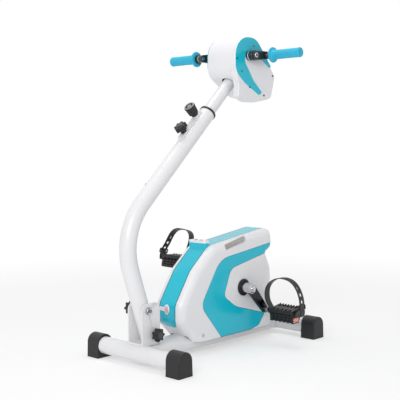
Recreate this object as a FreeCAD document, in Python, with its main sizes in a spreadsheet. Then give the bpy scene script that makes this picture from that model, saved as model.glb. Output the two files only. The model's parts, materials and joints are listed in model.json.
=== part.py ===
import FreeCAD, Part
import math
import os
import Sketcher
from FreeCAD import Placement, Rotation, Vector

# Arm and leg exerciser: a pedal drive in a moulded housing on a floor frame, and a hand crank
# head on a telescopic mast that rises from a bent, folding column.
# Millimetres. +Z is up, +X points to the seated user, -Y is the user's left.
# The origin lies on the floor, under the middle of the whole object's box.

SIZES = {
    # floor frame
    "base_ahead": 13.88,
    "base_long": 630.7,
    "foot_across": 400.0,
    "tube_radius": 26.0,
    "tube_wall": 2.0,
    "tube_up": 38.0,
    "beam_wide": 80.0,
    "beam_tall": 50.0,
    "beam_wall": 2.5,
    "beam_up": 37.0,
    "cap_long": 52.6,
    "cap_foot_half": 29.0,
    "cap_arch_radius": 27.5,
    "cap_arch_up": 44.5,
    "cap_end_wall": 5.0,
    "cap_edge_radius": 4.0,
    # bracket that carries the column
    "lock_inset": 41.35,
    "lock_up": 91.0,
    "pivot_reach": 77.0,
    "bracket_inner_half": 27.0,
    "bracket_plate": 4.0,
    "bracket_web_top": 68.0,
    "bracket_ahead": 26.0,
    "bracket_behind": 47.0,
    "bracket_over": 22.0,
    "bracket_corner_radius": 24.0,
    # column and mast
    "column_radius": 25.4,
    "column_wall": 2.0,
    "column_tail": 14.0,
    "column_corner_reach": 320.0,
    "column_bend_radius": 186.0,
    "column_upper_reach": 507.3,
    "rail_half": 10.0,
    "rail_rise": 5.0,
    "rail_near": 20.0,
    "rail_long": 120.0,
    "bush_long": 60.0,
    "bush_rim": 7.0,
    "bush_rim_radius": 27.0,
    "mast_radius": 20.0,
    "mast_wall": 2.0,
    "mast_below": 240.0,
    "index_pitch": 30.0,
    "index_radius": 4.6,
    # hand knobs and pins
    "stud_radius": 4.0,
    "bolt_radius": 5.0,
    "bolt_head_radius": 9.0,
    "bolt_head_tall": 6.0,
    "knob_core_radius": 15.0,
    "knob_lobe_radius": 6.0,
    "knob_thick": 16.0,
    "knob_hub_radius": 9.0,
    "knob_hub_tall": 7.0,
    "knob_edge_radius": 2.0,
    "height_knob_down": 115.0,
    "height_knob_rise": 42.0,
    "pin_down": 43.0,
    "pin_boss_top": 34.0,
    "pin_boss_radius": 9.0,
    "pin_grip_tall": 39.0,
    "pin_grip_foot_radius": 13.0,
    "pin_grip_head_radius": 16.5,
    "pin_ring_tall": 4.0,
    # head with the hand crank
    "head_reach": 225.0,
    "head_rise": 42.9,
    "head_left": 65.0,
    "head_long": 200.0,
    "head_up": 60.0,
    "head_tall": 207.0,
    "drum_half": 38.0,
    "head_half": 60.0,
    "head_wall": 2.5,
    "head_edge_radius": 3.0,
    "head_bevel": 18.0,
    "bevel_step": 3.75,
    "head_skin": 1.2,
    "neck_radius": 25.0,
    "arm_motor_radius": 42.0,
    "arm_motor_half": 34.0,
    "arm_boss_radius": 18.0,
    "arm_boss_start": 44.0,
    "arm_bearing_radius": 15.0,
    "arm_bearing_wide": 9.0,
    "arm_shaft_radius": 8.0,
    "arm_shaft_half": 87.0,
    "arm_plate_start": 72.0,
    "arm_plate_end": 86.0,
    "arm_hub_radius": 15.5,
    "arm_hub_start": 61.5,
    "arm_hub_end": 89.0,
    "arm_hub_lip": 3.0,
    "arm_neck_radius": 13.5,
    "arm_eye_radius": 12.0,
    "arm_root_radius": 16.5,
    "arm_long": 71.0,
    "handle_pin_radius": 6.0,
    "handle_collar_radius": 11.0,
    "handle_collar_wide": 5.0,
    "grip_start": 93.0,
    "grip_end": 218.0,
    "grip_flange_radius": 23.0,
    "grip_flange_wide": 5.0,
    "grip_radius": 14.2,
    "grip_knob_radius": 15.6,
    "grip_knob_long": 12.0,
    "grip_end_wall": 4.0,
    "screw_head_radius": 3.0,
    "screw_radius": 1.6,
    "screw_long": 14.0,
    "screw_sink": 1.0,
    "screw_proud": 0.6,
    # moulded housing of the leg drive
    "house_front": 192.0,
    "house_long": 442.0,
    "house_floor": 42.0,
    "house_tall": 328.0,
    "house_half": 60.0,
    "house_wall": 3.0,
    "house_roll_radius": 24.5,
    "inlay": 1.5,
    "spine_half": 35.0,
    "tongue_radius": 20.0,
    "slot_long": 105.0,
    "slot_tall": 17.0,
    "slot_radius": 7.0,
    "slot_depth": 16.0,
    "slot_back": 254.0,
    "control_back": 132.0,
    "control_long": 18.5,
    "control_half": 35.0,
    "control_deep": 32.0,
    "lid_thick": 8.0,
    "control_radius": 6.0,
    "button_radius": 5.0,
    "button_flange": 1.5,
    "button_flange_tall": 2.0,
    "button_travel": 1.5,
    "button_proud": 2.0,
    "button_back": 9.5,
    "button_side": 11.0,
    "bezel_half": 9.0,
    "bezel_tall": 30.0,
    "bezel_thick": 3.0,
    "bezel_band_tall": 12.0,
    "bezel_band_thick": 1.5,
    "rocker_half": 5.0,
    "rocker_tall": 16.0,
    "rocker_deep": 5.0,
    "shell_screw_back": 95.0,
    "shell_screw_up": 61.0,
    "tab_half": 10.0,
    "tab_drop": 9.0,
    # leg drive inside the housing
    "crank_back": 286.0,
    "crank_up": 186.0,
    "frame_plate": 5.0,
    "frame_half": 36.0,
    "frame_base": 4.0,
    "frame_front": 202.0,
    "frame_back": 72.0,
    "frame_lift": 170.0,
    "bearing_radius": 20.0,
    "bearing_wide": 14.0,
    "bearing_start": 38.0,
    "bearing_case_radius": 25.0,
    "bearing_case_end": 54.0,
    "axle_radius": 10.0,
    "axle_half": 97.0,
    "pulley_radius": 70.0,
    "pulley_start": 10.0,
    "pulley_wide": 16.0,
    "pulley_hub_radius": 17.0,
    "pulley_hub_wide": 26.0,
    "pulley_hole_radius": 14.0,
    "pulley_hole_reach": 42.0,
    "motor_ahead": 149.0,
    "motor_rise": 12.0,
    "motor_radius": 38.0,
    "motor_nose_radius": 24.0,
    "motor_nose_long": 4.0,
    "motor_end": 4.0,
    "motor_shaft_radius": 5.0,
    "motor_pulley_radius": 16.0,
    "belt_thick": 3.0,
    "board_front": 172.0,
    "board_long": 80.0,
    "board_half": 22.0,
    "board_thick": 1.6,
    "board_lift": 6.0,
    "post_radius": 3.0,
    "chip_long": 16.0,
    "chip_pitch": 20.0,
    "chip_tall": 9.0,
    "cover_radius": 27.0,
    "cover_thick": 4.0,
    "cover_spigot_radius": 21.0,
    "cover_spigot_deep": 4.0,
    "cover_rib_deep": 1.6,
    "cover_rib_inner": 14.0,
    "cover_rib_wide": 5.0,
    # leg cranks and pedals
    "crank_long": 104.0,
    "crank_root_radius": 16.5,
    "crank_eye_radius": 12.0,
    "crank_hub_start": 66.0,
    "crank_hub_end": 100.0,
    "crank_arm_start": 86.0,
    "crank_arm_end": 98.0,
    "crank_edge_radius": 2.0,
    "spindle_radius": 6.0,
    "spindle_flange_radius": 8.5,
    "spindle_flange_wide": 6.0,
    "spindle_end": 218.0,
    "pedal_centre": 176.0,
    "pedal_wide": 92.0,
    "pedal_long": 54.0,
    "pedal_deep": 39.0,
    "pedal_boss_radius": 11.0,
    "pedal_boss_long": 18.0,
    "pedal_corner_radius": 3.0,
    "window_long": 12.0,
    "window_wide": 10.0,
    "window_pitch": 16.0,
    "window_reach": 16.0,
    "tooth_tall": 3.5,
    "tooth_wide": 5.0,
    "tooth_pitch": 11.0,
    "reflector_half": 12.0,
    "reflector_tall": 13.0,
    "reflector_thick": 3.0,
    "reflector_drop": 12.0,
    "strap_wide": 30.0,
    "strap_thick": 2.5,
    "strap_arch": 110.0,
    "strap_reach": 58.0,
    # fits
    "running_gap": 0.05,
    "moving_gap": 0.3,
    "seat_gap": 0.02,
    "overrun": 10.0,
    # angles in degrees and counts
    "column_angle": 18.3,
    "mast_angle": 46.5,
    "arm_angle": 3.5,
    "crank_angle": -48.0,
    "slot_angle": 10.5,
    "far_pedal_tilt": 14.0,
    "knob_lobe_count": 7,
    "index_count": 4,
    "pulley_hole_count": 5,
    "cover_rib_count": 8,
    "window_count": 5,
    "tooth_count": 8,
    "chip_count": 3,
}

# Corners of each outline: along and up as shares of its piece's length and height, then the
# corner's radius as a share of the height.
HOUSE_SHARES = [
    (0.294, -0.189, 0), (0, 0.201, 0.091), (0.002, 0.370, 0.137), (0.152, 0.674, 0.366),
    (0.331, 0.880, 0.183), (0.993, 1, 0.082), (1.005, 0.787, 0.082), (0.934, 0.741, 0.012),
    (0.991, 0.588, 0.183), (1.005, -0.189, 0),
]
PANEL_SHARES = [
    (1.090, 1.100, 0), (0.982, 1.100, 0), (0.967, 0.844, 0.030), (0.400, 0.750, 0.244),
    (0.197, 0.335, 0.107), (0.413, -0.018, 0), (0.661, -0.018, 0), (0.824, 0.024, 0.061),
    (0.894, 0.134, 0.012), (0.561, 0.264, 0.305), (0.436, 0.386, 0.061),
    (0.514, 0.645, 0.122), (1.090, 0.793, 0),
]
SPINE_SHARES = [
    (-0.3, 0.152, 0), (0.16, 0.152, 0), (0.55, 0.5, 0), (0.9, 0.747, 0), (1.3, 0.747, 0),
    (1.3, 1.5, 0), (-0.3, 1.5, 0),
]
DRUM_SHARES = [
    (0, 1, 0.314), (0.515, 1, 0.290), (1, 0.420, 0.106), (0.855, 0.068, 0.068),
    (0.515, 0.097, 0.386), (0, 0.420, 0.217),
]
COVER_SHARES = [
    (0, 1, 0.314), (0.515, 1, 0.290), (1, 0.420, 0.106), (0.890, 0.058, 0.121),
    (0.565, 0, 0.483), (0.240, 0, 0.290), (0.070, 0.072, 0.019), (0.085, 0.261, 0.048),
    (0, 0.560, 0.145),
]
SWOOSH_SHARES = [
    (0.008, 0.993, 0.300), (0.510, 0.993, 0.280), (0.915, 0.545, 0.020), (0.830, 0.560, 0.020),
    (0.490, 0.768, 0.145), (0.170, 0.700, 0.087), (0.250, 0.585, 0.193), (0.440, 0.334, 0.483),
    (0.655, 0.155, 0.014), (0.575, 0.114, 0.024), (0.215, 0.295, 0.386), (0.008, 0.464, 0.217),
]
SCREW_SHARES = [(0.453, 0.869), (0.036, 0.655), (0.153, 0.467), (0.348, 0.230), (0.703, 0.112),
                (0.935, 0.430)]
FAR_SCREW_SHARES = [(0.500, 0.884), (0.155, 0.454), (0.330, 0.290), (0.720, 0.155),
                    (0.915, 0.410), (0.870, 0.240)]
FRAME_SHARES = [(0, 0, 0), (1, 0, 0), (0.90, 0.88, 0.16), (0.60, 0.98, 0.1), (0.10, 0.98, 0.2)]
PEDAL_SHARES = [(-0.5, 0.23, 0), (0.5, 0.47, 0), (0.52, 0.22, 0), (0.45, 0.10, 0),
                (0.24, -0.77, 0), (-0.34, -0.77, 0), (-0.37, -0.05, 0), (-0.5, -0.02, 0)]
STRAP_ROOT = 0.83
STRAP_SHARES = [
    (-STRAP_ROOT, -0.10, 0), (-STRAP_ROOT, 0.04, 0.04), (-1.22, 0.20, 0.10),
    (-1.26, 0.62, 0.30), (-0.72, 1, 0.40), (0.36, 1, 0.60), (1.10, 0.72, 0.34),
    (1.22, 0.20, 0.10), (STRAP_ROOT, 0.04, 0.04), (STRAP_ROOT, -0.10, 0),
]
FAR_STRAP_SHARES = [
    (-STRAP_ROOT, -0.10, 0), (-STRAP_ROOT, 0.30, 0.20), (-0.95, 0.62, 0.22),
    (-0.76, 0.95, 0.22), (0.45, 0.95, 0.30), (0.86, 0.50, 0.30), (1.208, 0.26, 0.06),
    (1.208, 0.14, 0.04), (STRAP_ROOT, 0.02, 0.03), (STRAP_ROOT, -0.10, 0),
]
# Heights on the housing as shares of its own height
LID_SHARE = 0.9085
SLOT_SHARE = 0.8811
BEZEL_SHARE = 0.3232
# Roundings and openings as shares of the half width or radius they belong to
BEAM_ROUND = 0.98
BEZEL_FOOT_ROUND = 0.95
BEZEL_TOP_ROUND = 0.5
VENT_SHARE = 0.7

DOC = FreeCAD.newDocument("ArmLegTrainer")
SHEET = DOC.addObject("Spreadsheet::Sheet", "sizes")


class Size:
    """A number of the sheet, or one worked out from such numbers, with its formula."""

    def __init__(self, value, formula):
        self.value = float(value)
        self.formula = formula

    def joined(self, sign, other, value):
        return Size(value, f"({self.formula} {sign} {as_size(other).formula})")

    def __add__(self, other):
        return self.joined("+", other, self.value + as_size(other).value)

    def __sub__(self, other):
        return self.joined("-", other, self.value - as_size(other).value)

    def __mul__(self, other):
        return self.joined("*", other, self.value * as_size(other).value)

    def __truediv__(self, other):
        return self.joined("/", other, self.value / as_size(other).value)

    def __neg__(self):
        return Size(-self.value, f"(0 - {self.formula})")


def as_size(number):
    return number if isinstance(number, Size) else Size(number, repr(float(number)))


def sine(angle):
    return Size(math.sin(math.radians(angle.value)), f"sin({angle.formula})")


def cosine(angle):
    return Size(math.cos(math.radians(angle.value)), f"cos({angle.formula})")


class Named:
    """The sheet's numbers by their names."""


at = Named()
for row, (alias, number) in enumerate(SIZES.items(), 1):
    SHEET.set(f"A{row}", alias)
    SHEET.set(f"B{row}", str(number))
    SHEET.setAlias(f"B{row}", alias)
DOC.recompute()
for alias in SIZES:
    setattr(at, alias, Size(SHEET.get(alias), f"sizes.{alias}"))

ZERO = as_size(0)
TOUCH = 1e-6
NEARLY_STRAIGHT = 0.999
HEXAGON = 6
FULL_TURN = 360.0
HALF_TURN = 180.0
QUARTER_TURN = 90.0
X_AXIS = Vector(1, 0, 0)
Y_AXIS = Vector(0, 1, 0)
TO_Y = (X_AXIS, -QUARTER_TURN)
TO_X = (Y_AXIS, QUARTER_TURN)
TO_MAST = (Y_AXIS, at.mast_angle.value)
TO_KNOB = (Y_AXIS, at.mast_angle.value - QUARTER_TURN)


# Helpers: placing and joining

def bind(thing, prop, length):
    thing.setExpression(prop, length.formula)


def place(thing, x, y, z, turn=None):
    rotation = Rotation(*turn) if turn else Rotation()
    thing.Placement = Placement(Vector(x.value, y.value, z.value), rotation)
    for axis, length in zip("xyz", (x, y, z)):
        bind(thing, f"Placement.Base.{axis}", length)
    return thing


def cylinder(name, radius, length, x, y, z, turn=None):
    rod = DOC.addObject("Part::Cylinder", name)
    bind(rod, "Radius", radius)
    bind(rod, "Height", length)
    return place(rod, x, y, z, turn)


def across(name, radius, start, end, x, z):
    """A cylinder along Y between two places."""
    return cylinder(name, radius, end - start, x, start, z, TO_Y)


def block(name, x, y, z):
    """A box between a low and a high place on each axis."""
    box = DOC.addObject("Part::Box", name)
    for prop, (low, high) in zip(("Length", "Width", "Height"), (x, y, z)):
        bind(box, prop, high - low)
    return place(box, x[0], y[0], z[0])


def fused(name, *things):
    union = DOC.addObject("Part::MultiFuse", name)
    union.Shapes = list(things)
    return union


def cut(name, base, *tools):
    difference = DOC.addObject("Part::Cut", name)
    difference.Base = base
    difference.Tool = tools[0] if len(tools) == 1 else fused(name + "_tools", *tools)
    return difference


def common(name, base, tool):
    overlap = DOC.addObject("Part::Common", name)
    overlap.Base = base
    overlap.Tool = tool
    return overlap


def group(name, *things):
    compound = DOC.addObject("Part::Compound", name)
    compound.Links = list(things)
    return compound


def mirrored(name, source):
    """The same piece on the other side of the mid-plane."""
    mirror = DOC.addObject("Part::Mirroring", name)
    mirror.Source = source
    mirror.Normal = Y_AXIS
    return mirror


# Helpers: outlines with rounded corners

def corners_of(shares, x, z, along, tall):
    return [(x.value + along.value * a, z.value + tall.value * b, tall.value * c)
            for a, b, c in shares]


def winding(corners):
    """One for an outline drawn anticlockwise, minus one for a clockwise one."""
    area = sum(a[0] * b[1] - b[0] * a[1] for a, b in zip(corners, corners[1:] + corners[:1]))
    return math.copysign(1, area)


def inset(corners, depth):
    """The same outline with every side moved inwards by a depth."""
    side = winding(corners)
    moved = []
    count = len(corners)
    for i, here in enumerate(corners):
        before, after = corners[i - 1], corners[(i + 1) % count]
        first = math.atan2(here[1] - before[1], here[0] - before[0])
        second = math.atan2(after[1] - here[1], after[0] - here[0])
        half = (second - first) / 2
        middle = first + half + side * math.radians(QUARTER_TURN)
        reach = depth / math.cos(half)
        turn = math.copysign(1, math.sin(second - first)) * side
        radius = here[2] - turn * depth if here[2] else 0
        moved.append((here[0] + math.cos(middle) * reach, here[1] + math.sin(middle) * reach,
                      max(radius, 0)))
    return moved


def band(path, thick):
    """A strip's outline along an open path of rounded corners."""
    sides = []
    for shift in (-thick / 2, thick / 2):
        line = []
        for i, here in enumerate(path):
            before = path[i - 1] if i else None
            after = path[i + 1] if i + 1 < len(path) else None
            start, end = before or here, after or here
            if before and after:
                first = math.atan2(here[1] - start[1], here[0] - start[0])
                second = math.atan2(end[1] - here[1], end[0] - here[0])
            else:
                first = second = math.atan2(end[1] - start[1], end[0] - start[0])
            half = (second - first + math.pi) % (2 * math.pi) / 2 - math.pi / 2
            middle = first + half + math.radians(QUARTER_TURN)
            reach = shift / math.cos(half)
            radius = here[2] - shift * math.copysign(1, half) if here[2] else 0
            line.append((here[0] + math.cos(middle) * reach,
                         here[1] + math.sin(middle) * reach, max(radius, 0)))
        sides.append(line)
    return sides[0] + sides[1][::-1]


def rounded(corners):
    """Lines and arcs of a closed outline whose corners are rounded by their radii."""
    ends = []
    count = len(corners)
    for i, (x, z, radius) in enumerate(corners):
        before, after = corners[i - 1], corners[(i + 1) % count]
        here = Vector(x, z, 0)
        back = (Vector(before[0], before[1], 0) - here).normalize()
        ahead = (Vector(after[0], after[1], 0) - here).normalize()
        half = back.getAngle(ahead) / 2
        if radius and half < math.radians(QUARTER_TURN) * NEARLY_STRAIGHT:
            reach = radius / math.tan(half)
            middle = (back + ahead).normalize()
            tip = here + middle * (radius / math.sin(half) - radius)
            ends.append((here + back * reach, tip, here + ahead * reach))
        else:
            ends.append((here, None, here))
    edges = []
    for i, (start, tip, end) in enumerate(ends):
        if tip:
            edges.append(Part.Arc(start, tip, end))
        target = ends[(i + 1) % count][0]
        if (target - end).Length > TOUCH:
            edges.append(Part.LineSegment(end, target))
    return edges


# Helpers: bodies, sketches and features

def new_body(name):
    return DOC.addObject("PartDesign::Body", name)


def sketch_on(body, role, offset=ZERO):
    """A sketch on one of the body's origin planes, moved along the plane's normal."""
    plane = [feature for feature in body.Origin.OriginFeatures if feature.Role == role][0]
    sketch = body.newObject("Sketcher::SketchObject", body.Name + "_sketch")
    sketch.AttachmentSupport = [(plane, "")]
    sketch.MapMode = "FlatFace"
    bind(sketch, "AttachmentOffset.Base.z", offset)
    return sketch


def draw(sketch, geometry):
    for piece in geometry:
        sketch.addGeometry(piece, False)
    return sketch


def draw_polygon(sketch, points):
    """Closes a polygon through the points, each pinned by its two formulas."""
    first = len(sketch.Geometry)
    count = len(points)
    for i, (x, y) in enumerate(points):
        after_x, after_y = points[(i + 1) % count]
        start = Vector(x.value, y.value, 0)
        end = Vector(after_x.value, after_y.value, 0)
        sketch.addGeometry(Part.LineSegment(start, end), False)
    for i in range(count):
        sketch.addConstraint(Sketcher.Constraint("Coincident", first + i, 2,
                                                 first + (i + 1) % count, 1))
    for i, point in enumerate(points):
        for kind, length in zip(("DistanceX", "DistanceY"), point):
            index = sketch.addConstraint(
                Sketcher.Constraint(kind, -1, 1, first + i, 1, length.value))
            bind(sketch, f"Constraints[{index}]", length)
    return sketch


def draw_circle(sketch, x, y, radius):
    first = len(sketch.Geometry)
    centre = Vector(x.value, y.value, 0)
    sketch.addGeometry(Part.Circle(centre, Vector(0, 0, 1), radius.value), False)
    pins = (("DistanceX", x), ("DistanceY", y))
    for kind, length in pins:
        index = sketch.addConstraint(Sketcher.Constraint(kind, -1, 1, first, 3, length.value))
        bind(sketch, f"Constraints[{index}]", length)
    index = sketch.addConstraint(Sketcher.Constraint("Radius", first, radius.value))
    bind(sketch, f"Constraints[{index}]", radius)
    return sketch


def feature(kind, body, sketch, length=None, side="One side", backwards=False):
    """A pad or pocket of a sketch; with no length it goes right through."""
    made = body.newObject("PartDesign::" + kind, f"{body.Name}_{kind}")
    made.Profile = sketch
    made.SideType = side
    made.Reversed = backwards
    if length:
        bind(made, "Length", length)
    else:
        made.Type = "ThroughAll"
    return made


def revolved(body, sketch, axis):
    made = body.newObject("PartDesign::Revolution", body.Name + "_Revolution")
    made.Profile = sketch
    made.ReferenceAxis = (sketch, [axis])
    return made


def filleted(body, base, radius, wanted):
    """A fillet on the base feature's edges that a test picks."""
    DOC.recompute()
    names = [f"Edge{i}" for i, edge in enumerate(base.Shape.Edges, 1) if wanted(edge)]
    made = body.newObject("PartDesign::Fillet", body.Name + "_Fillet")
    made.Base = (base, names)
    bind(made, "Radius", radius)
    return made


def patterned(body, kind, original, axis, count, total):
    made = body.newObject("PartDesign::" + kind, f"{body.Name}_{kind}")
    made.Originals = [original]
    made.setExpression("Occurrences", count.formula)
    if kind == "PolarPattern":
        made.Axis = axis
    else:
        made.Direction = axis
        bind(made, "Length", total)
    body.Tip = made
    return made


def level(edge, axis, place_on_axis):
    """Whether an edge lies in the plane at a place on an axis."""
    box = edge.BoundBox
    low, high = getattr(box, axis + "Min"), getattr(box, axis + "Max")
    return abs(low - place_on_axis) < 0.01 and abs(high - place_on_axis) < 0.01


def link(x, z, root, reach, angle, eye):
    """Outline of a tapered arm: a root circle, an eye circle and their tangents."""
    lean = math.acos((root.value - eye.value) / reach.value)
    start = Vector(x.value, z.value, 0)
    turn = math.radians(angle.value)
    end = start + Vector(math.cos(turn), math.sin(turn), 0) * reach.value

    def rim(centre, radius, direction):
        return centre + Vector(math.cos(direction), math.sin(direction), 0) * radius.value

    upper, lower = turn + lean, turn - lean
    return [
        Part.Arc(rim(start, root, upper), rim(start, root, turn + math.pi),
                 rim(start, root, lower)),
        Part.LineSegment(rim(start, root, lower), rim(end, eye, lower)),
        Part.Arc(rim(end, eye, lower), rim(end, eye, turn), rim(end, eye, upper)),
        Part.LineSegment(rim(end, eye, upper), rim(start, root, upper)),
    ]


# Places that several pieces share

BASE_X = at.base_ahead
FRONT_X = BASE_X - at.base_long / 2
REAR_X = BASE_X + at.base_long / 2
FLOOR_TOP = at.beam_up + at.beam_tall / 2
LOCK_X = FRONT_X + at.lock_inset
LEAN_X = -sine(at.column_angle)
LEAN_Z = cosine(at.column_angle)
PIVOT_X = LOCK_X + LEAN_X * at.pivot_reach
PIVOT_Z = at.lock_up + LEAN_Z * at.pivot_reach
CORNER_X = LOCK_X + LEAN_X * at.column_corner_reach
CORNER_Z = at.lock_up + LEAN_Z * at.column_corner_reach
RISE_X = sine(at.mast_angle)
RISE_Z = cosine(at.mast_angle)
COLLAR_X = CORNER_X + RISE_X * at.column_upper_reach
COLLAR_Z = CORNER_Z + RISE_Z * at.column_upper_reach
HOUSE_X = BASE_X - at.house_front
LID_Z = at.house_floor + at.house_tall * LID_SHARE
SLOT_Z = at.house_floor + at.house_tall * SLOT_SHARE
BEZEL_Z = at.house_floor + at.house_tall * BEZEL_SHARE
CRANK_X = HOUSE_X + at.crank_back
CRANK_Z = at.crank_up
SCREW_X = HOUSE_X + at.shell_screw_back


def on_mast(along, rise):
    """A place measured from the collar: along the mast, then square to it and upwards."""
    return (COLLAR_X + RISE_X * along - RISE_Z * rise, COLLAR_Z + RISE_Z * along + RISE_X * rise)


HEAD_X, HEAD_Z = on_mast(at.head_reach, at.head_rise)


# Floor frame

def stabiliser(name, x):
    tube_half = at.foot_across / 2 - at.cap_end_wall
    outer = across(name + "_outer", at.tube_radius, -tube_half, tube_half, x, at.tube_up)
    inner = across(name + "_inner", at.tube_radius - at.tube_wall, -tube_half - at.overrun,
                   tube_half + at.overrun, x, at.tube_up)
    return cut(name, outer, inner)


def end_cap(name, x, side):
    """A plastic foot on a stabiliser's end: flat below, arched above, bored for the tube."""
    body = new_body(name)
    start = at.foot_across / 2 - at.cap_long
    foot, arch, rise = at.cap_foot_half, at.cap_arch_radius, at.cap_arch_up
    geometry = [
        Part.LineSegment(Vector(-foot.value, 0, 0), Vector(foot.value, 0, 0)),
        Part.LineSegment(Vector(foot.value, 0, 0), Vector(arch.value, rise.value, 0)),
        Part.Arc(Vector(arch.value, rise.value, 0), Vector(0, rise.value + arch.value, 0),
                 Vector(-arch.value, rise.value, 0)),
        Part.LineSegment(Vector(-arch.value, rise.value, 0), Vector(-foot.value, 0, 0)),
    ]
    outline = draw(sketch_on(body, "XZ_Plane", start), geometry)
    pad = feature("Pad", body, outline, at.cap_long)
    outer = -at.foot_across.value / 2
    rolled = filleted(body, pad, at.cap_edge_radius,
                      lambda edge: level(edge, "Y", outer)
                      and edge.BoundBox.ZMax > at.cap_edge_radius.value)
    bore = draw_circle(sketch_on(body, "XZ_Plane", start), ZERO, at.tube_up,
                       at.tube_radius + at.seat_gap)
    feature("Pocket", body, bore, at.cap_long - at.cap_end_wall, backwards=True)
    turn = None if side < 0 else (Vector(0, 0, 1), HALF_TURN)
    return place(body, x, ZERO, ZERO, turn)


def main_beam():
    """A tube with rounded sides, coped round both stabilisers."""
    body = new_body("beam_stock")

    def stadium(shrink):
        half, radius = at.beam_wide.value / 2 - shrink, at.beam_tall.value / 2 - shrink
        corners = [(-half, -radius, radius), (half, -radius, radius),
                   (half, radius, radius), (-half, radius, radius)]
        return [(x, z + at.beam_up.value, r * BEAM_ROUND) for x, z, r in corners]

    profile = draw(sketch_on(body, "YZ_Plane", BASE_X), rounded(stadium(0)))
    draw(profile, rounded(stadium(at.beam_wall.value)))
    feature("Pad", body, profile, at.base_long, "Symmetric")
    radius = at.tube_radius + at.seat_gap
    saddles = [across(f"saddle_{i}", radius, -at.beam_wide, at.beam_wide, x, at.tube_up)
               for i, x in enumerate((FRONT_X, REAR_X))]
    return cut("main_beam", body, *saddles)


def column_bracket():
    """A folded channel that straddles the foot of the column."""
    body = new_body("bracket_stock")
    front, back = PIVOT_X - at.bracket_ahead, PIVOT_X + at.bracket_behind
    top = PIVOT_Z + at.bracket_over
    corner = at.bracket_corner_radius.value
    corners = [(front.value, FLOOR_TOP.value, 0), (back.value, FLOOR_TOP.value, 0),
               (back.value, top.value, corner), (front.value, top.value, corner)]
    half = at.bracket_inner_half + at.bracket_plate
    feature("Pad", body, draw(sketch_on(body, "XZ_Plane"), rounded(corners)), half * 2,
            "Symmetric")
    channel = draw_polygon(sketch_on(body, "XZ_Plane"), [
        (front - at.overrun, at.bracket_web_top), (back + at.overrun, at.bracket_web_top),
        (back + at.overrun, top + at.overrun), (front - at.overrun, top + at.overrun)])
    feature("Pocket", body, channel, at.bracket_inner_half * 2, "Symmetric")
    holes = draw_circle(sketch_on(body, "XZ_Plane"), PIVOT_X, PIVOT_Z,
                        at.bolt_radius + at.seat_gap)
    draw_circle(holes, LOCK_X, at.lock_up, at.stud_radius + at.running_gap)
    feature("Pocket", body, holes, None, "Symmetric")
    saddle = across("bracket_saddle", at.tube_radius + at.seat_gap, -half * 2, half * 2,
                    FRONT_X, at.tube_up)
    return cut("column_bracket", body, saddle)


# Column, mast and what adjusts them

def column_path(sketch):
    turn = math.radians(at.column_angle.value + at.mast_angle.value)
    reach = at.column_bend_radius.value * math.tan(turn / 2)
    corner = Vector(CORNER_X.value, CORNER_Z.value, 0)
    down = Vector(-LEAN_X.value, -LEAN_Z.value, 0)
    up = Vector(RISE_X.value, RISE_Z.value, 0)
    foot = Vector(LOCK_X.value, at.lock_up.value, 0) + down * at.column_tail.value
    head = Vector(COLLAR_X.value, COLLAR_Z.value, 0)
    bend_start, bend_end = corner + down * reach, corner + up * reach
    middle = (down + up).normalize()
    radius = at.column_bend_radius.value
    tip = corner + middle * (radius / math.cos(turn / 2) - radius)
    return draw(sketch, [Part.LineSegment(foot, bend_start), Part.Arc(bend_start, tip, bend_end),
                         Part.LineSegment(bend_end, head)])


def pipe(name, radius):
    """A round bar swept along the column's path."""
    body = new_body(name)
    path = column_path(sketch_on(body, "XZ_Plane"))
    section = body.newObject("Sketcher::SketchObject", name + "_section")
    section.AttachmentSupport = [(path, "Edge1")]
    section.MapMode = "NormalToEdge"
    section.MapReversed = False
    DOC.recompute()
    draw_circle(section, ZERO, ZERO, radius)
    sweep = body.newObject("PartDesign::AdditivePipe", name + "_sweep")
    sweep.Profile = section
    sweep.Spine = path
    return body


def column_tube():
    """The bent tube, with the welded rail and boss that take the height knob and the pin."""
    outer = pipe("column_outer", at.column_radius)
    bore = pipe("column_bore", at.column_radius - at.column_wall)
    rail_top = at.column_radius + at.rail_rise
    rail = new_body("column_rail")
    near, far = -at.rail_near, -at.rail_near - at.rail_long
    low = at.column_radius - at.column_wall / 2
    feature("Pad", rail, draw_polygon(sketch_on(rail, "XZ_Plane"), [
        on_mast(near, low), on_mast(near, rail_top), on_mast(far, rail_top),
        on_mast(far, low)]), at.rail_half * 2, "Symmetric")
    pin_x, pin_z = on_mast(-at.pin_down, low)
    boss = cylinder("pin_boss", at.pin_boss_radius, at.pin_boss_top - low, pin_x, ZERO, pin_z,
                    TO_KNOB)
    inner_x, inner_z = on_mast(-at.pin_down, ZERO)
    pin_hole = cylinder("pin_hole", at.stud_radius + at.running_gap,
                        at.pin_boss_top + at.overrun, inner_x, ZERO, inner_z, TO_KNOB)
    stud_x, stud_z = on_mast(-at.height_knob_down, ZERO)
    stud_hole = cylinder("stud_hole", at.stud_radius + at.running_gap,
                         rail_top + at.overrun, stud_x, ZERO, stud_z, TO_KNOB)
    pivot_hole = across("pivot_hole", at.bolt_radius + at.running_gap, -at.column_radius * 2,
                        at.column_radius * 2, PIVOT_X, PIVOT_Z)
    stock = fused("column_stock", outer, rail, boss)
    mouth_x, mouth_z = on_mast(-at.overrun, ZERO)
    mouth = cylinder("column_mouth", at.column_radius - at.column_wall, at.overrun * 2, mouth_x,
                     ZERO, mouth_z, TO_MAST)
    return cut("column_tube", stock, bore, mouth, pin_hole, stud_hole, pivot_hole)


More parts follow.
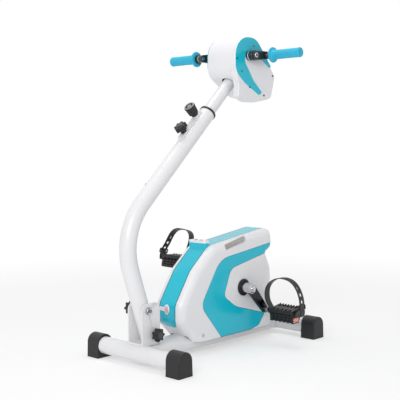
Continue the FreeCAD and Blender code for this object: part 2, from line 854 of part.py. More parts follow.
def column_bush():
    """A plastic sleeve in the column's mouth, with the rim that shows as a black ring."""
    body = new_body("bush_stock")
    hole = at.mast_radius + at.running_gap
    sleeve = at.column_radius - at.column_wall - at.seat_gap
    profile = draw_polygon(sketch_on(body, "XZ_Plane"), [
        (hole, -at.bush_long), (sleeve, -at.bush_long), (sleeve, ZERO),
        (at.bush_rim_radius, ZERO), (at.bush_rim_radius, at.bush_rim), (hole, at.bush_rim)])
    revolved(body, profile, "V_Axis")
    place(body, COLLAR_X, ZERO, COLLAR_Z, TO_MAST)
    inner_x, inner_z = on_mast(-at.pin_down, ZERO)
    pin_hole = cylinder("bush_pin_hole", at.index_radius, at.column_radius, inner_x, ZERO,
                        inner_z, TO_KNOB)
    return cut("column_bush", body, pin_hole)


def mast_tube():
    """The inner tube: index holes below, and a top end coped round the arm motor."""
    low_x, low_z = on_mast(-at.mast_below, ZERO)
    long = at.mast_below + at.head_reach
    outer = cylinder("mast_outer", at.mast_radius, long, low_x, ZERO, low_z, TO_MAST)
    inner = cylinder("mast_inner", at.mast_radius - at.mast_wall, long + at.overrun, low_x, ZERO,
                     low_z, TO_MAST)
    holes = []
    for i in range(int(at.index_count.value)):
        x, z = on_mast(-at.pin_down - at.index_pitch * i, ZERO)
        holes.append(cylinder(f"index_{i}", at.index_radius, at.column_radius, x, ZERO, z,
                              TO_KNOB))
    cope = across("mast_cope", at.arm_motor_radius + at.seat_gap, -at.mast_radius * 2,
                  at.mast_radius * 2, HEAD_X, HEAD_Z)
    above = block("mast_above", (HEAD_X - at.arm_motor_radius / 2, HEAD_X + at.head_long),
                  (-at.mast_radius * 2, at.mast_radius * 2),
                  (HEAD_Z - at.arm_motor_radius / 2, HEAD_Z + at.head_tall))
    return cut("mast_tube", outer, inner, cope, above, *holes)


def star_knob(name, stud_long, hub_tall, bore=None):
    """A lobed hand knob whose hub starts at the origin, with a stud down or a bore up its axis."""
    body = new_body(name)
    core = draw_circle(sketch_on(body, "XY_Plane", hub_tall), ZERO, ZERO, at.knob_core_radius)
    feature("Pad", body, core, at.knob_thick)
    lobe = draw_circle(sketch_on(body, "XY_Plane", hub_tall), at.knob_core_radius, ZERO,
                       at.knob_lobe_radius)
    lobe_pad = feature("Pad", body, lobe, at.knob_thick)
    axis = (body.Origin.OriginFeatures[2], [""])
    DOC.recompute()
    patterned(body, "PolarPattern", lobe_pad, axis, at.knob_lobe_count, None)
    DOC.recompute()
    hub = draw_circle(sketch_on(body, "XY_Plane"), ZERO, ZERO, at.knob_hub_radius)
    feature("Pad", body, hub, hub_tall)
    if bore:
        hole = draw_circle(sketch_on(body, "XY_Plane"), ZERO, ZERO, bore)
        feature("Pocket", body, hole, hub_tall + at.knob_thick / 2, backwards=True)
    else:
        stud = draw_circle(sketch_on(body, "XY_Plane"), ZERO, ZERO, at.stud_radius)
        feature("Pad", body, stud, stud_long, backwards=True)
    return body


def hand_knobs():
    """The knobs that lock the fold, clamp the pivot and clamp the mast."""
    plate = at.bracket_inner_half + at.bracket_plate
    lock = star_knob("lock_knob", plate + at.moving_gap - at.column_radius - at.seat_gap * 2,
                     at.knob_hub_tall)
    place(lock, LOCK_X, -plate - at.moving_gap, at.lock_up, (X_AXIS, QUARTER_TURN))
    pivot = star_knob("pivot_knob", ZERO, at.knob_hub_tall, at.bolt_radius + at.running_gap)
    place(pivot, PIVOT_X, plate + at.moving_gap, PIVOT_Z, TO_Y)
    rail_top = at.column_radius + at.rail_rise
    hub = at.height_knob_rise - rail_top - at.moving_gap
    height = star_knob("height_knob", rail_top - at.mast_radius, hub)
    x, z = on_mast(-at.height_knob_down, rail_top + at.moving_gap)
    place(height, x, ZERO, z, TO_KNOB)


def pivot_bolt():
    plate = at.bracket_inner_half + at.bracket_plate
    shank_end = plate + at.knob_hub_tall + at.knob_thick / 4
    shank = across("pivot_shank", at.bolt_radius, -plate, shank_end, PIVOT_X, PIVOT_Z)
    body = new_body("pivot_head")
    corners = []
    for i in range(HEXAGON):
        turn = math.radians(FULL_TURN / HEXAGON * i)
        corners.append((PIVOT_X + at.bolt_head_radius * math.cos(turn),
                        PIVOT_Z + at.bolt_head_radius * math.sin(turn)))
    feature("Pad", body, draw_polygon(sketch_on(body, "XZ_Plane", plate), corners),
            at.bolt_head_tall)
    return fused("pivot_bolt", shank, body)


def pull_pin():
    """The spring pin's barrel and shank, drawn out square to the mast."""
    body = new_body("pull_pin")
    foot = at.pin_boss_top + at.moving_gap
    head = at.pin_boss_top + at.pin_grip_tall
    ring = head - at.pin_ring_tall
    tip = at.mast_radius + at.moving_gap
    profile = draw_polygon(sketch_on(body, "XZ_Plane"), [
        (ZERO, tip), (at.stud_radius, tip), (at.stud_radius, foot),
        (at.pin_grip_foot_radius, foot), (at.pin_grip_head_radius, ring),
        (at.pin_grip_head_radius, head), (ZERO, head)])
    revolved(body, profile, "V_Axis")
    x, z = on_mast(-at.pin_down, ZERO)
    place(body, x, ZERO, z, TO_KNOB)


# Head

def head_corners(shares):
    return corners_of(shares, HEAD_X - at.head_left, HEAD_Z + at.head_up - at.head_tall,
                      at.head_long, at.head_tall)


def head_drum():
    """The ring of the motor housing, open to both covers and notched for the mast."""
    body = new_body("drum_stock")
    corners = head_corners(DRUM_SHARES)
    feature("Pad", body, draw(sketch_on(body, "XZ_Plane"), rounded(corners)),
            at.drum_half * 2, "Symmetric")
    hollow = rounded(inset(corners, at.head_wall.value))
    feature("Pocket", body, draw(sketch_on(body, "XZ_Plane"), hollow), None, "Symmetric")
    x, z = on_mast(at.head_reach - at.head_tall, ZERO)
    neck = cylinder("neck_hole", at.neck_radius, at.head_tall - at.neck_radius, x, ZERO, z,
                    TO_MAST)
    return cut("head_drum", body, neck)


def bevel_wedge(name, depth):
    """What a cover's bevelled underside leaves out, moved inwards by a depth."""
    wedge = new_body(name)
    floor = HEAD_Z + at.head_up - at.head_tall + depth
    side = sketch_on(wedge, "YZ_Plane", HEAD_X - at.head_long)
    draw_polygon(side, [
        (-at.drum_half, floor - at.overrun), (-at.drum_half, floor),
        (-at.head_half, floor + at.head_bevel),
        (-at.head_half - at.overrun, floor + at.head_bevel),
        (-at.head_half - at.overrun, floor - at.overrun)])
    feature("Pad", wedge, side, at.head_long * 2)
    return wedge


def head_cover(name, shares, bevelled):
    """A cover on the drum's side, with the boss that holds the shaft's bearing."""
    body = new_body(name + "_stock")
    corners = head_corners(shares)
    outline = draw(sketch_on(body, "XZ_Plane", at.drum_half), rounded(corners))
    pad = feature("Pad", body, outline, at.head_half - at.drum_half)
    outer = -at.head_half.value
    filleted(body, pad, at.head_edge_radius, lambda edge: level(edge, "Y", outer))
    core = new_body(name + "_core")
    inner = draw(sketch_on(core, "XZ_Plane", at.drum_half - at.overrun),
                 rounded(inset(corners, at.head_wall.value)))
    draw_circle(inner, HEAD_X, HEAD_Z, at.arm_boss_radius)
    feature("Pad", core, inner, at.head_half - at.drum_half + at.overrun - at.head_wall)
    if bevelled:
        body = cut(name + "_bevelled", body, bevel_wedge(name + "_wedge", ZERO))
        core = cut(name + "_hollow", core, bevel_wedge(name + "_step", at.bevel_step))
    seat_end = at.arm_boss_start + at.arm_bearing_wide
    tools = [
        core,
        across(name + "_boss_end", at.arm_boss_radius + at.moving_gap, -at.arm_boss_start,
               -at.drum_half + at.overrun, HEAD_X, HEAD_Z),
        across(name + "_seat", at.arm_bearing_radius + at.seat_gap, -seat_end,
               -at.drum_half, HEAD_X, HEAD_Z),
        across(name + "_bore", at.arm_shaft_radius + at.moving_gap, -at.head_half - at.overrun,
               -at.drum_half, HEAD_X, HEAD_Z),
    ]
    return cut(name + "_plain", body, *tools)


def cover_screws(name, shares):
    """Six countersunk screws on one cover's face."""
    screws = []
    for i, (along, up) in enumerate(shares):
        x = HEAD_X - at.head_left + at.head_long * along
        z = HEAD_Z + at.head_up - at.head_tall + at.head_tall * up
        sunk = at.head_half - at.screw_sink
        head = across(f"{name}_head_{i}", at.screw_head_radius,
                      -at.head_half - at.head_skin - at.screw_proud, -sunk, x, z)
        shank = across(f"{name}_shank_{i}", at.screw_radius, -sunk, -sunk + at.screw_long, x, z)
        screws.append(fused(f"{name}_{i}", head, shank))
    return screws


def head_panel(name, screws):
    """The coloured swoosh, a thin plate on the cover's face."""
    body = new_body(name + "_stock")
    outline = draw(sketch_on(body, "XZ_Plane", at.head_half), rounded(head_corners(SWOOSH_SHARES)))
    feature("Pad", body, outline, at.head_skin)
    shaft = across(name + "_hole", at.arm_hub_radius + at.moving_gap, -at.head_half * 2,
                   -at.head_half + at.overrun, HEAD_X, HEAD_Z)
    return cut(name, body, shaft, *screws)


def head():
    head_drum()
    left_screws = cover_screws("left_cover_screw", SCREW_SHARES)
    far_screws = cover_screws("far_cover_screw", FAR_SCREW_SHARES)
    cut("left_head_cover", head_cover("left_cover", COVER_SHARES, True), *left_screws)
    far_cover = cut("far_cover_screwed", head_cover("far_cover", DRUM_SHARES, False),
                    *far_screws)
    mirrored("right_head_cover", far_cover)
    head_panel("left_head_panel", left_screws)
    mirrored("right_head_panel", head_panel("far_panel", far_screws))
    right_screws = mirrored("right_cover_screws", group("far_cover_screws", *far_screws))
    group("head_screws", *left_screws, right_screws)


def arm_drive():
    """The hollow-shaft motor, the bearings in the covers and the shaft through all of them."""
    motor = across("arm_motor_case", at.arm_motor_radius, -at.arm_motor_half, at.arm_motor_half,
                   HEAD_X, HEAD_Z)
    bore = across("arm_motor_bore", at.arm_shaft_radius + at.running_gap, -at.head_half,
                  at.head_half, HEAD_X, HEAD_Z)
    cut("arm_motor", motor, bore)
    end = at.arm_boss_start + at.arm_bearing_wide
    rings = []
    for side, (low, high) in enumerate(((-end, -at.arm_boss_start), (at.arm_boss_start, end))):
        ring = across(f"arm_ring_{side}", at.arm_bearing_radius, low, high, HEAD_X, HEAD_Z)
        hole = across(f"arm_ring_hole_{side}", at.arm_shaft_radius + at.running_gap,
                      low - at.overrun, high + at.overrun, HEAD_X, HEAD_Z)
        rings.append(cut(f"arm_bearing_{side}", ring, hole))
    group("arm_bearings", *rings)
    across("arm_shaft", at.arm_shaft_radius, -at.arm_shaft_half, at.arm_shaft_half, HEAD_X,
           HEAD_Z)


def arm_end(angle):
    return HEAD_X + at.arm_long * cosine(angle), HEAD_Z + at.arm_long * sine(angle)


def arm_crank(name, angle):
    """A hand crank on the left: a tapered plate between the hub and the handle's eye."""
    body = new_body(name + "_plate")
    outline = link(HEAD_X, HEAD_Z, at.arm_root_radius, at.arm_long, angle, at.arm_eye_radius)
    pad = feature("Pad", body, draw(sketch_on(body, "XZ_Plane", at.arm_plate_start), outline),
                  at.arm_plate_end - at.arm_plate_start)
    outer = -at.arm_plate_end.value
    filleted(body, pad, at.crank_edge_radius, lambda edge: level(edge, "Y", outer))
    lip = across(name + "_lip", at.arm_hub_radius, -at.arm_hub_start - at.arm_hub_lip,
                 -at.arm_hub_start, HEAD_X, HEAD_Z)
    hub = across(name + "_hub", at.arm_neck_radius, -at.arm_hub_end, -at.arm_hub_start, HEAD_X,
                 HEAD_Z)
    bore = across(name + "_bore", at.arm_shaft_radius + at.seat_gap, -at.arm_shaft_half,
                  -at.drum_half, HEAD_X, HEAD_Z)
    x, z = arm_end(angle)
    eye = across(name + "_eye", at.handle_pin_radius + at.seat_gap, -at.grip_end, -at.drum_half,
                 x, z)
    return cut(name, fused(name + "_all", body, lip, hub), bore, eye)


def handle_pin(name, x, z):
    pin = across(name + "_pin", at.handle_pin_radius, -at.grip_end + at.grip_end_wall * 2,
                 -at.arm_plate_start, x, z)
    collar = across(name + "_collar", at.handle_collar_radius,
                    -at.arm_plate_end - at.handle_collar_wide, -at.arm_plate_end, x, z)
    return fused(name, pin, collar)


def grip(name, x, z):
    """A foam grip with a hand guard at its root and a fuller end, turning on its pin."""
    body = new_body(name)
    hole = at.handle_pin_radius + at.running_gap
    flange_end = at.grip_start + at.grip_flange_wide
    neck = flange_end + at.grip_flange_wide
    knob = at.grip_end - at.grip_knob_long
    round_start = at.grip_end - at.grip_end_wall
    profile = draw_polygon(sketch_on(body, "XY_Plane"), [
        (hole, -at.grip_start), (at.grip_flange_radius, -at.grip_start),
        (at.grip_flange_radius, -flange_end), (at.grip_knob_radius, -neck),
        (at.grip_radius, -neck - at.grip_flange_wide), (at.grip_radius, -knob),
        (at.grip_knob_radius, -knob - at.grip_end_wall), (at.grip_knob_radius, -round_start),
        (at.grip_radius - at.grip_end_wall / 2, -at.grip_end), (ZERO, -at.grip_end),
        (ZERO, -round_start), (hole, -round_start)])
    revolved(body, profile, "V_Axis")
    return place(body, x, ZERO, z)


def arm_cranks():
    near_x, near_z = arm_end(at.arm_angle)
    opposite = at.arm_angle + HALF_TURN
    far_x, far_z = arm_end(opposite)
    arm_crank("left_arm_crank", at.arm_angle)
    mirrored("right_arm_crank", arm_crank("far_arm", opposite))
    near_pin = handle_pin("near_handle", near_x, near_z)
    far_pin = mirrored("far_handle", handle_pin("far_handle_source", far_x, far_z))
    group("handle_pins", near_pin, far_pin)
    grip("left_grip", near_x, near_z)
    mirrored("right_grip", grip("far_grip", far_x, far_z))


# Housing of the leg drive

def house_corners(shares):
    return corners_of(shares, HOUSE_X, at.house_floor, at.house_long, at.house_tall)


def house_form(name, depth):
    """Half of the housing's outer form, or the same form shrunk by a depth on every side."""
    body = new_body(name)
    corners = inset(house_corners(HOUSE_SHARES), depth.value)
    start = ZERO if depth.value == 0 else -at.overrun
    outline = draw(sketch_on(body, "XZ_Plane", start), rounded(corners))
    pad = feature("Pad", body, outline, at.house_half - depth - start)
    outer = -(at.house_half - depth).value
    low = at.house_floor.value
    filleted(body, pad, at.house_roll_radius - depth,
             lambda edge: level(edge, "Y", outer) and edge.BoundBox.ZMax > low)
    return body


def prism(name, corners, start, end):
    """A prism of an outline between two distances to the left of the mid-plane."""
    body = new_body(name)
    outline = draw(sketch_on(body, "XZ_Plane", start), rounded(corners))
    feature("Pad", body, outline, end - start)
    return body


def slot_corners(grow):
    """The grip slot's outline, tilted along the housing's top."""
    half_long, half_tall = at.slot_long.value / 2 + grow, at.slot_tall.value / 2 + grow
    turn = math.radians(at.slot_angle.value)
    x, z = HOUSE_X.value + at.slot_back.value, SLOT_Z.value
    corners = []
    for a, b in ((-1, -1), (1, -1), (1, 1), (-1, 1)):
        along, up = a * half_long, b * half_tall
        corners.append((x + along * math.cos(turn) - up * math.sin(turn),
                        z + along * math.sin(turn) + up * math.cos(turn),
                        at.slot_radius.value + grow))
    return corners


def tongue():
    """A bar along the housing, as wide as the spine, with its two lower corners rounded."""
    body = new_body("tongue")
    half, low = at.spine_half.value, house_corners(SPINE_SHARES)[0][1]
    top = low + at.house_tall.value * 2
    corners = [(-half, low, at.tongue_radius.value), (half, low, at.tongue_radius.value),
               (half, top, 0), (-half, top, 0)]
    outline = draw(sketch_on(body, "YZ_Plane", HOUSE_X - at.overrun), rounded(corners))
    feature("Pad", body, outline, at.house_long + at.overrun * 4)
    return body


def left_housing():
    """The left shell with its recessed grip, and the coloured panel let into its side."""
    outer = house_form("house_outer", ZERO)
    skin = house_form("house_skin", at.inlay)
    core = house_form("house_core", at.house_wall)
    far = at.house_half * 2
    shallow = cut("house_rind", outer, skin)
    floor = block("house_below", (HOUSE_X * 2, at.house_long * 2), (-far, far),
                  (-at.house_tall, at.house_floor))
    panel_prism = prism("panel_prism", house_corners(PANEL_SHARES), at.spine_half + at.seat_gap,
                        far)
    panel = cut("left_side_panel", common("panel_rind", shallow, panel_prism), floor)
    spine_prism = prism("spine_prism", house_corners(SPINE_SHARES), -at.overrun, at.spine_half)
    spine_half = common("spine_left", common("spine_rind", shallow, spine_prism), tongue())
    cup_form = prism("slot_cup", slot_corners(at.house_wall.value),
                     at.house_half - at.slot_depth - at.house_wall, far)
    cup = common("slot_cup_wall", outer, cup_form)
    slot = prism("slot_hollow", slot_corners(0), at.house_half - at.slot_depth, far)
    walls = cut("house_walls", outer, core)
    beam = block("beam_notch", (HOUSE_X * 2, at.house_long),
                 (-at.beam_wide / 2 - at.moving_gap, at.beam_wide / 2),
                 (-at.house_tall, FLOOR_TOP + at.seat_gap))
    cover = across("cover_hole", at.cover_spigot_radius + at.seat_gap, -far, ZERO, CRANK_X,
                   CRANK_Z)
    screw = across("screw_hole", at.bolt_radius / 2 + at.seat_gap, -far, ZERO, SCREW_X,
                   at.shell_screw_up)
    shell = cut("left_shell_whole", fused("house_solid", walls, cup), slot, floor, beam, cover,
                screw, panel, spine_half)
    return outer, shell, panel, spine_half


def control_box(outer, far_outer):
    """The raised block at the top of the spine, its lid and the two sprung buttons."""
    front = HOUSE_X + at.control_back
    back = front + at.control_long
    half = at.control_half
    body = new_body("control_stock")
    corners = [(front.value, -half.value, at.control_radius.value), (back.value, -half.value, 0),
               (back.value, half.value, 0), (front.value, half.value, at.control_radius.value)]
    bottom = LID_Z - at.control_deep
    feature("Pad", body, draw(sketch_on(body, "XY_Plane", bottom), rounded(corners)),
            at.control_deep)
    lid = new_body("lid_stock")
    feature("Pad", lid, draw(sketch_on(lid, "XY_Plane", LID_Z), rounded(corners)), at.lid_thick)
    x = front + at.button_back
    bores, wells = [], []
    for name, side in (("start_button", -at.button_side), ("mode_button", at.button_side)):
        floor = LID_Z - at.button_flange_tall - at.button_travel * 2
        well = cylinder(name + "_well", at.button_radius + at.button_flange + at.moving_gap,
                        LID_Z - floor, x, side, floor)
        bore = cylinder(name + "_bore", at.button_radius + at.moving_gap,
                        at.lid_thick + at.overrun, x, side, LID_Z)
        stem = cylinder(name + "_stem", at.button_radius,
                        at.lid_thick + at.button_proud + at.button_flange_tall, x, side,
                        LID_Z - at.button_flange_tall - at.seat_gap)
        flange = cylinder(name + "_flange", at.button_radius + at.button_flange,
                          at.button_flange_tall, x, side,
                          LID_Z - at.button_flange_tall - at.seat_gap)
        fused(name, stem, flange)
        wells.append(well)
        bores.append(bore)
    cut("control_lid", lid, *bores)
    cut("control_box", body, outer, far_outer, *wells)


def power_switch():
    """The bezel on the front of the spine, with the rocker that tips in it."""
    body = new_body("bezel_stock")
    x = HOUSE_X
    half, tall = at.bezel_half.value, at.bezel_tall.value
    low, high = BEZEL_Z.value - tall / 2, BEZEL_Z.value + tall / 2
    corners = [(-half, low, half * BEZEL_FOOT_ROUND), (half, low, half * BEZEL_FOOT_ROUND),
               (half, high, half * BEZEL_TOP_ROUND), (-half, high, half * BEZEL_TOP_ROUND)]
    outline = draw(sketch_on(body, "YZ_Plane", x - at.bezel_thick), rounded(corners))
    feature("Pad", body, outline, at.bezel_thick)
    band_low = BEZEL_Z - at.bezel_band_tall / 2
    strip = block("bezel_band", (x - at.bezel_band_thick, x), (at.bezel_half / 2, at.spine_half),
                  (band_low, band_low + at.bezel_band_tall))
    low, high = BEZEL_Z - at.rocker_tall / 2, BEZEL_Z + at.rocker_tall / 2
    gap = at.moving_gap
    well = block("rocker_well", (x - at.bezel_thick * 2, x + at.house_wall * 3),
                 (-at.rocker_half - gap, at.rocker_half + gap), (low - gap * 2, high + gap * 2))
    bezel = cut("power_bezel", fused("bezel_all", body, strip), well)
    face = x - at.bezel_thick
    rocker = new_body("power_rocker")
    sides = draw_polygon(sketch_on(rocker, "XZ_Plane"), [
        (face + at.rocker_deep, low + at.rocker_deep / 2), (face, low),
        (face - at.inlay, low), (face, BEZEL_Z), (face, high),
        (face + at.rocker_deep, high - at.rocker_deep / 2)])
    feature("Pad", rocker, sides, at.rocker_half * 2, "Symmetric")
    return bezel, well


def housing():
    outer, left, panel, spine_left = left_housing()
    far_outer = mirrored("house_far_outer", outer)
    mirrored("right_side_panel", panel)
    bezel, well = power_switch()
    spine_all = fused("spine_all", spine_left, mirrored("spine_right", spine_left))
    cut("spine_cover", spine_all, well)
    cut("left_shell", left, well)
    cut("right_shell", mirrored("right_shell_whole", left), well)
    control_box(outer, far_outer)


def shell_screws():
    """One screw through each shell into the drive frame's tab."""
    screws = []
    for side in (-1, 1):
        face, end = at.house_half * side, (at.house_half - at.screw_long) * side
        low, high = (face, end) if side < 0 else (end, face)
        shank = across(f"shell_shank_{side + 1}", at.bolt_radius / 2, low, high, SCREW_X,
                       at.shell_screw_up)
        top = (at.house_half + at.button_flange_tall) * side
        low, high = (top, face) if side < 0 else (face, top)
        head = across(f"shell_head_{side + 1}", at.bolt_radius, low, high, SCREW_X,
                      at.shell_screw_up)
        screws.append(fused(f"shell_screw_{side + 1}", shank, head))
    group("shell_screws", *screws)


# Leg drive

def drive_frame():
    """The folded steel frame on the beam that holds the crank's bearings and the motor."""
    body = new_body("drive_stock")
    front, back = CRANK_X - at.frame_front, CRANK_X + at.frame_back
    corners = corners_of(FRAME_SHARES, front, FLOOR_TOP, back - front, at.frame_lift)
    feature("Pad", body, draw(sketch_on(body, "XZ_Plane"), rounded(corners)), at.frame_half * 2,
            "Symmetric")
    top = FLOOR_TOP + at.frame_base
    channel = draw_polygon(sketch_on(body, "XZ_Plane"), [
        (front - at.overrun, top), (back + at.overrun, top),
        (back + at.overrun, top + at.house_tall), (front - at.overrun, top + at.house_tall)])
    feature("Pocket", body, channel, (at.frame_half - at.frame_plate) * 2, "Symmetric")
    case_start = at.frame_half - at.frame_plate
    cases = [
        across("bearing_case_left", at.bearing_case_radius, -at.bearing_case_end, -case_start,
               CRANK_X, CRANK_Z),
        across("bearing_case_right", at.bearing_case_radius, case_start, at.bearing_case_end,
               CRANK_X, CRANK_Z)]
    bore = across("bearing_bore", at.bearing_radius + at.seat_gap, -at.house_half, at.house_half,
                  CRANK_X, CRANK_Z)
    tabs, holes = [], []
    inner = at.house_half - at.house_wall
    for side in (-1, 1):
        low, high = (-inner, -case_start) if side < 0 else (case_start, inner)
        x_span = (SCREW_X - at.tab_half, SCREW_X + at.tab_half)
        tabs.append(block(f"tab_{side + 1}", x_span, (low, high), (FLOOR_TOP, top)))
        low, high = (-inner, -inner + at.frame_base) if side < 0 \
            else (inner - at.frame_base, inner)
        tabs.append(block(f"lug_{side + 1}", x_span, (low, high),
                          (FLOOR_TOP - at.tab_drop, top + at.tab_drop / 2)))
    holes.append(across("lug_holes", at.bolt_radius / 2 + at.seat_gap, -at.house_half,
                        at.house_half, SCREW_X, at.shell_screw_up))
    vent = across("frame_vent", at.motor_radius * VENT_SHARE, -at.house_half, at.house_half,
                  CRANK_X - at.motor_ahead, CRANK_Z + at.motor_rise)
    cut("drive_frame", fused("drive_all", body, *cases, *tabs), bore, *holes, vent)


def crank_bearings():
    end = at.bearing_start + at.bearing_wide
    rings = []
    for side, (low, high) in enumerate(((-end, -at.bearing_start), (at.bearing_start, end))):
        ring = across(f"crank_ring_{side}", at.bearing_radius, low, high, CRANK_X, CRANK_Z)
        hole = across(f"crank_ring_hole_{side}", at.axle_radius + at.running_gap,
                      low - at.overrun, high + at.overrun, CRANK_X, CRANK_Z)
        rings.append(cut(f"crank_bearing_{side}", ring, hole))
    group("crank_bearings", *rings)


def bearing_covers():
    """Ribbed discs over the bearings, their spigots through the shells."""
    body = new_body("cover_disc")
    face = draw_circle(sketch_on(body, "XZ_Plane", at.house_half), ZERO, ZERO, at.cover_radius)
    feature("Pad", body, face, at.cover_thick)
    rib_outer = at.cover_radius - at.cover_rib_wide / 2
    half = at.cover_rib_wide / 2
    top = at.house_half + at.cover_thick
    dent = draw_polygon(sketch_on(body, "XZ_Plane", top), [
        (at.cover_rib_inner, -half), (rib_outer, -half), (rib_outer, half),
        (at.cover_rib_inner, half)])
    pocket = feature("Pocket", body, dent, at.cover_rib_deep)
    DOC.recompute()
    axis = (body.Origin.OriginFeatures[1], [""])
    patterned(body, "PolarPattern", pocket, axis, at.cover_rib_count, None)
    DOC.recompute()
    place(body, CRANK_X, ZERO, CRANK_Z)
    spigot = across("cover_spigot", at.cover_spigot_radius, -at.house_half,
                    -at.house_half + at.cover_spigot_deep, CRANK_X, CRANK_Z)
    bore = across("cover_bore", at.axle_radius + at.moving_gap, -at.house_half * 2, ZERO,
                  CRANK_X, CRANK_Z)
    near = cut("near_cover", fused("near_cover_all", body, spigot), bore)
    group("bearing_covers", near, mirrored("far_bearing_cover", near))


def leg_drive():
    """The motor, its pulley, the belt and the large pulley on the crank's axle."""
    motor_x, motor_z = CRANK_X - at.motor_ahead, CRANK_Z + at.motor_rise
    start = at.frame_half - at.frame_plate
    case = across("leg_motor_case", at.motor_radius, -start, at.motor_end, motor_x, motor_z)
    nose = across("leg_motor_nose", at.motor_nose_radius, at.motor_end,
                  at.motor_end + at.motor_nose_long, motor_x, motor_z)
    bore = across("leg_motor_bore", at.motor_shaft_radius + at.running_gap,
                  -start + at.frame_plate, at.house_half, motor_x, motor_z)
    cut("leg_motor", fused("leg_motor_all", case, nose), bore)
    pulley_end = at.pulley_start + at.pulley_wide
    shaft = across("leg_motor_shaft", at.motor_shaft_radius,
                   -start + at.frame_plate + at.moving_gap, pulley_end, motor_x, motor_z)
    wheel = across("leg_motor_wheel", at.motor_pulley_radius, at.pulley_start, pulley_end,
                   motor_x, motor_z)
    fused("leg_motor_pulley", shaft, wheel)
    across("crank_axle", at.axle_radius, -at.axle_half, at.axle_half, CRANK_X, CRANK_Z)
    disc = new_body("pulley_disc")
    feature("Pad", disc, draw_circle(sketch_on(disc, "XZ_Plane", -pulley_end), ZERO, ZERO,
                                     at.pulley_radius), at.pulley_wide)
    window = draw_circle(sketch_on(disc, "XZ_Plane"), at.pulley_hole_reach, ZERO,
                         at.pulley_hole_radius)
    hole = feature("Pocket", disc, window, None, "Symmetric")
    DOC.recompute()
    patterned(disc, "PolarPattern", hole, (disc.Origin.OriginFeatures[1], [""]),
              at.pulley_hole_count, None)
    DOC.recompute()
    place(disc, CRANK_X, ZERO, CRANK_Z)
    hub_start = at.pulley_start - (at.pulley_hub_wide - at.pulley_wide) / 2
    hub = across("pulley_hub", at.pulley_hub_radius, hub_start, hub_start + at.pulley_hub_wide,
                 CRANK_X, CRANK_Z)
    bore = across("pulley_bore", at.axle_radius + at.seat_gap, -at.house_half, at.house_half,
                  CRANK_X, CRANK_Z)
    cut("crank_pulley", fused("pulley_all", disc, hub), bore)
    belt = new_body("leg_belt")
    reach = as_size(math.hypot(at.motor_ahead.value, at.motor_rise.value))
    angle = as_size(math.degrees(math.atan2(at.motor_rise.value, -at.motor_ahead.value)))
    sketch = sketch_on(belt, "XZ_Plane", -pulley_end + at.button_flange_tall)
    for grow in (at.moving_gap, at.moving_gap + at.belt_thick):
        draw(sketch, link(CRANK_X, CRANK_Z, at.pulley_radius + grow, reach, angle,
                          at.motor_pulley_radius + grow))
    feature("Pad", belt, sketch, at.pulley_wide - at.button_flange_tall * 2)


def control_board():
    """The circuit board on its four posts, with its larger parts."""
    front = CRANK_X - at.board_front
    back = front + at.board_long
    base = FLOOR_TOP + at.frame_base
    low = base + at.board_lift
    top = low + at.board_thick
    pieces = [block("board_plate", (front, back), (-at.board_half, at.board_half), (low, top))]
    margin = at.post_radius * 2
    for i, (x, y) in enumerate(((front + margin, margin - at.board_half),
                                (back - margin, margin - at.board_half),
                                (front + margin, at.board_half - margin),
                                (back - margin, at.board_half - margin))):
        pieces.append(cylinder(f"board_post_{i}", at.post_radius, at.board_lift, x, y, base))
    for i in range(int(at.chip_count.value)):
        x = front + margin * 2 + at.chip_pitch * i
        pieces.append(block(f"board_chip_{i}", (x, x + at.chip_long),
                            (-at.chip_long / 2, at.chip_long / 2), (top, top + at.chip_tall)))
    fused("control_board", *pieces)


# Leg cranks and pedals

def leg_crank(name, angle):
    """A forged crank on the left: boss, tapered arm and the eye for the pedal's spindle."""
    body = new_body(name + "_arm")
    outline = link(CRANK_X, CRANK_Z, at.crank_root_radius, at.crank_long, angle,
                   at.crank_eye_radius)
    pad = feature("Pad", body, draw(sketch_on(body, "XZ_Plane", at.crank_arm_start), outline),
                  at.crank_arm_end - at.crank_arm_start)
    outer = -at.crank_arm_end.value
    filleted(body, pad, at.crank_edge_radius, lambda edge: level(edge, "Y", outer))
    hub = across(name + "_hub", at.crank_root_radius, -at.crank_hub_end, -at.crank_hub_start,
                 CRANK_X, CRANK_Z)
    bore = across(name + "_bore", at.axle_radius + at.seat_gap, -at.axle_half, ZERO, CRANK_X,
                  CRANK_Z)
    x, z = pedal_place(angle)
    eye = across(name + "_eye", at.spindle_radius + at.seat_gap, -at.spindle_end,
                 -at.house_half, x, z)
    return cut(name, fused(name + "_all", body, hub), bore, eye)


def pedal_place(angle):
    return CRANK_X + at.crank_long * cosine(angle), CRANK_Z + at.crank_long * sine(angle)


def spindle(name, x, z):
    pin = across(name + "_pin", at.spindle_radius, -at.spindle_end, -at.crank_arm_start, x, z)
    flats = across(name + "_flats", at.spindle_flange_radius,
                   -at.crank_arm_end - at.spindle_flange_wide, -at.crank_arm_end, x, z)
    return fused(name, pin, flats)


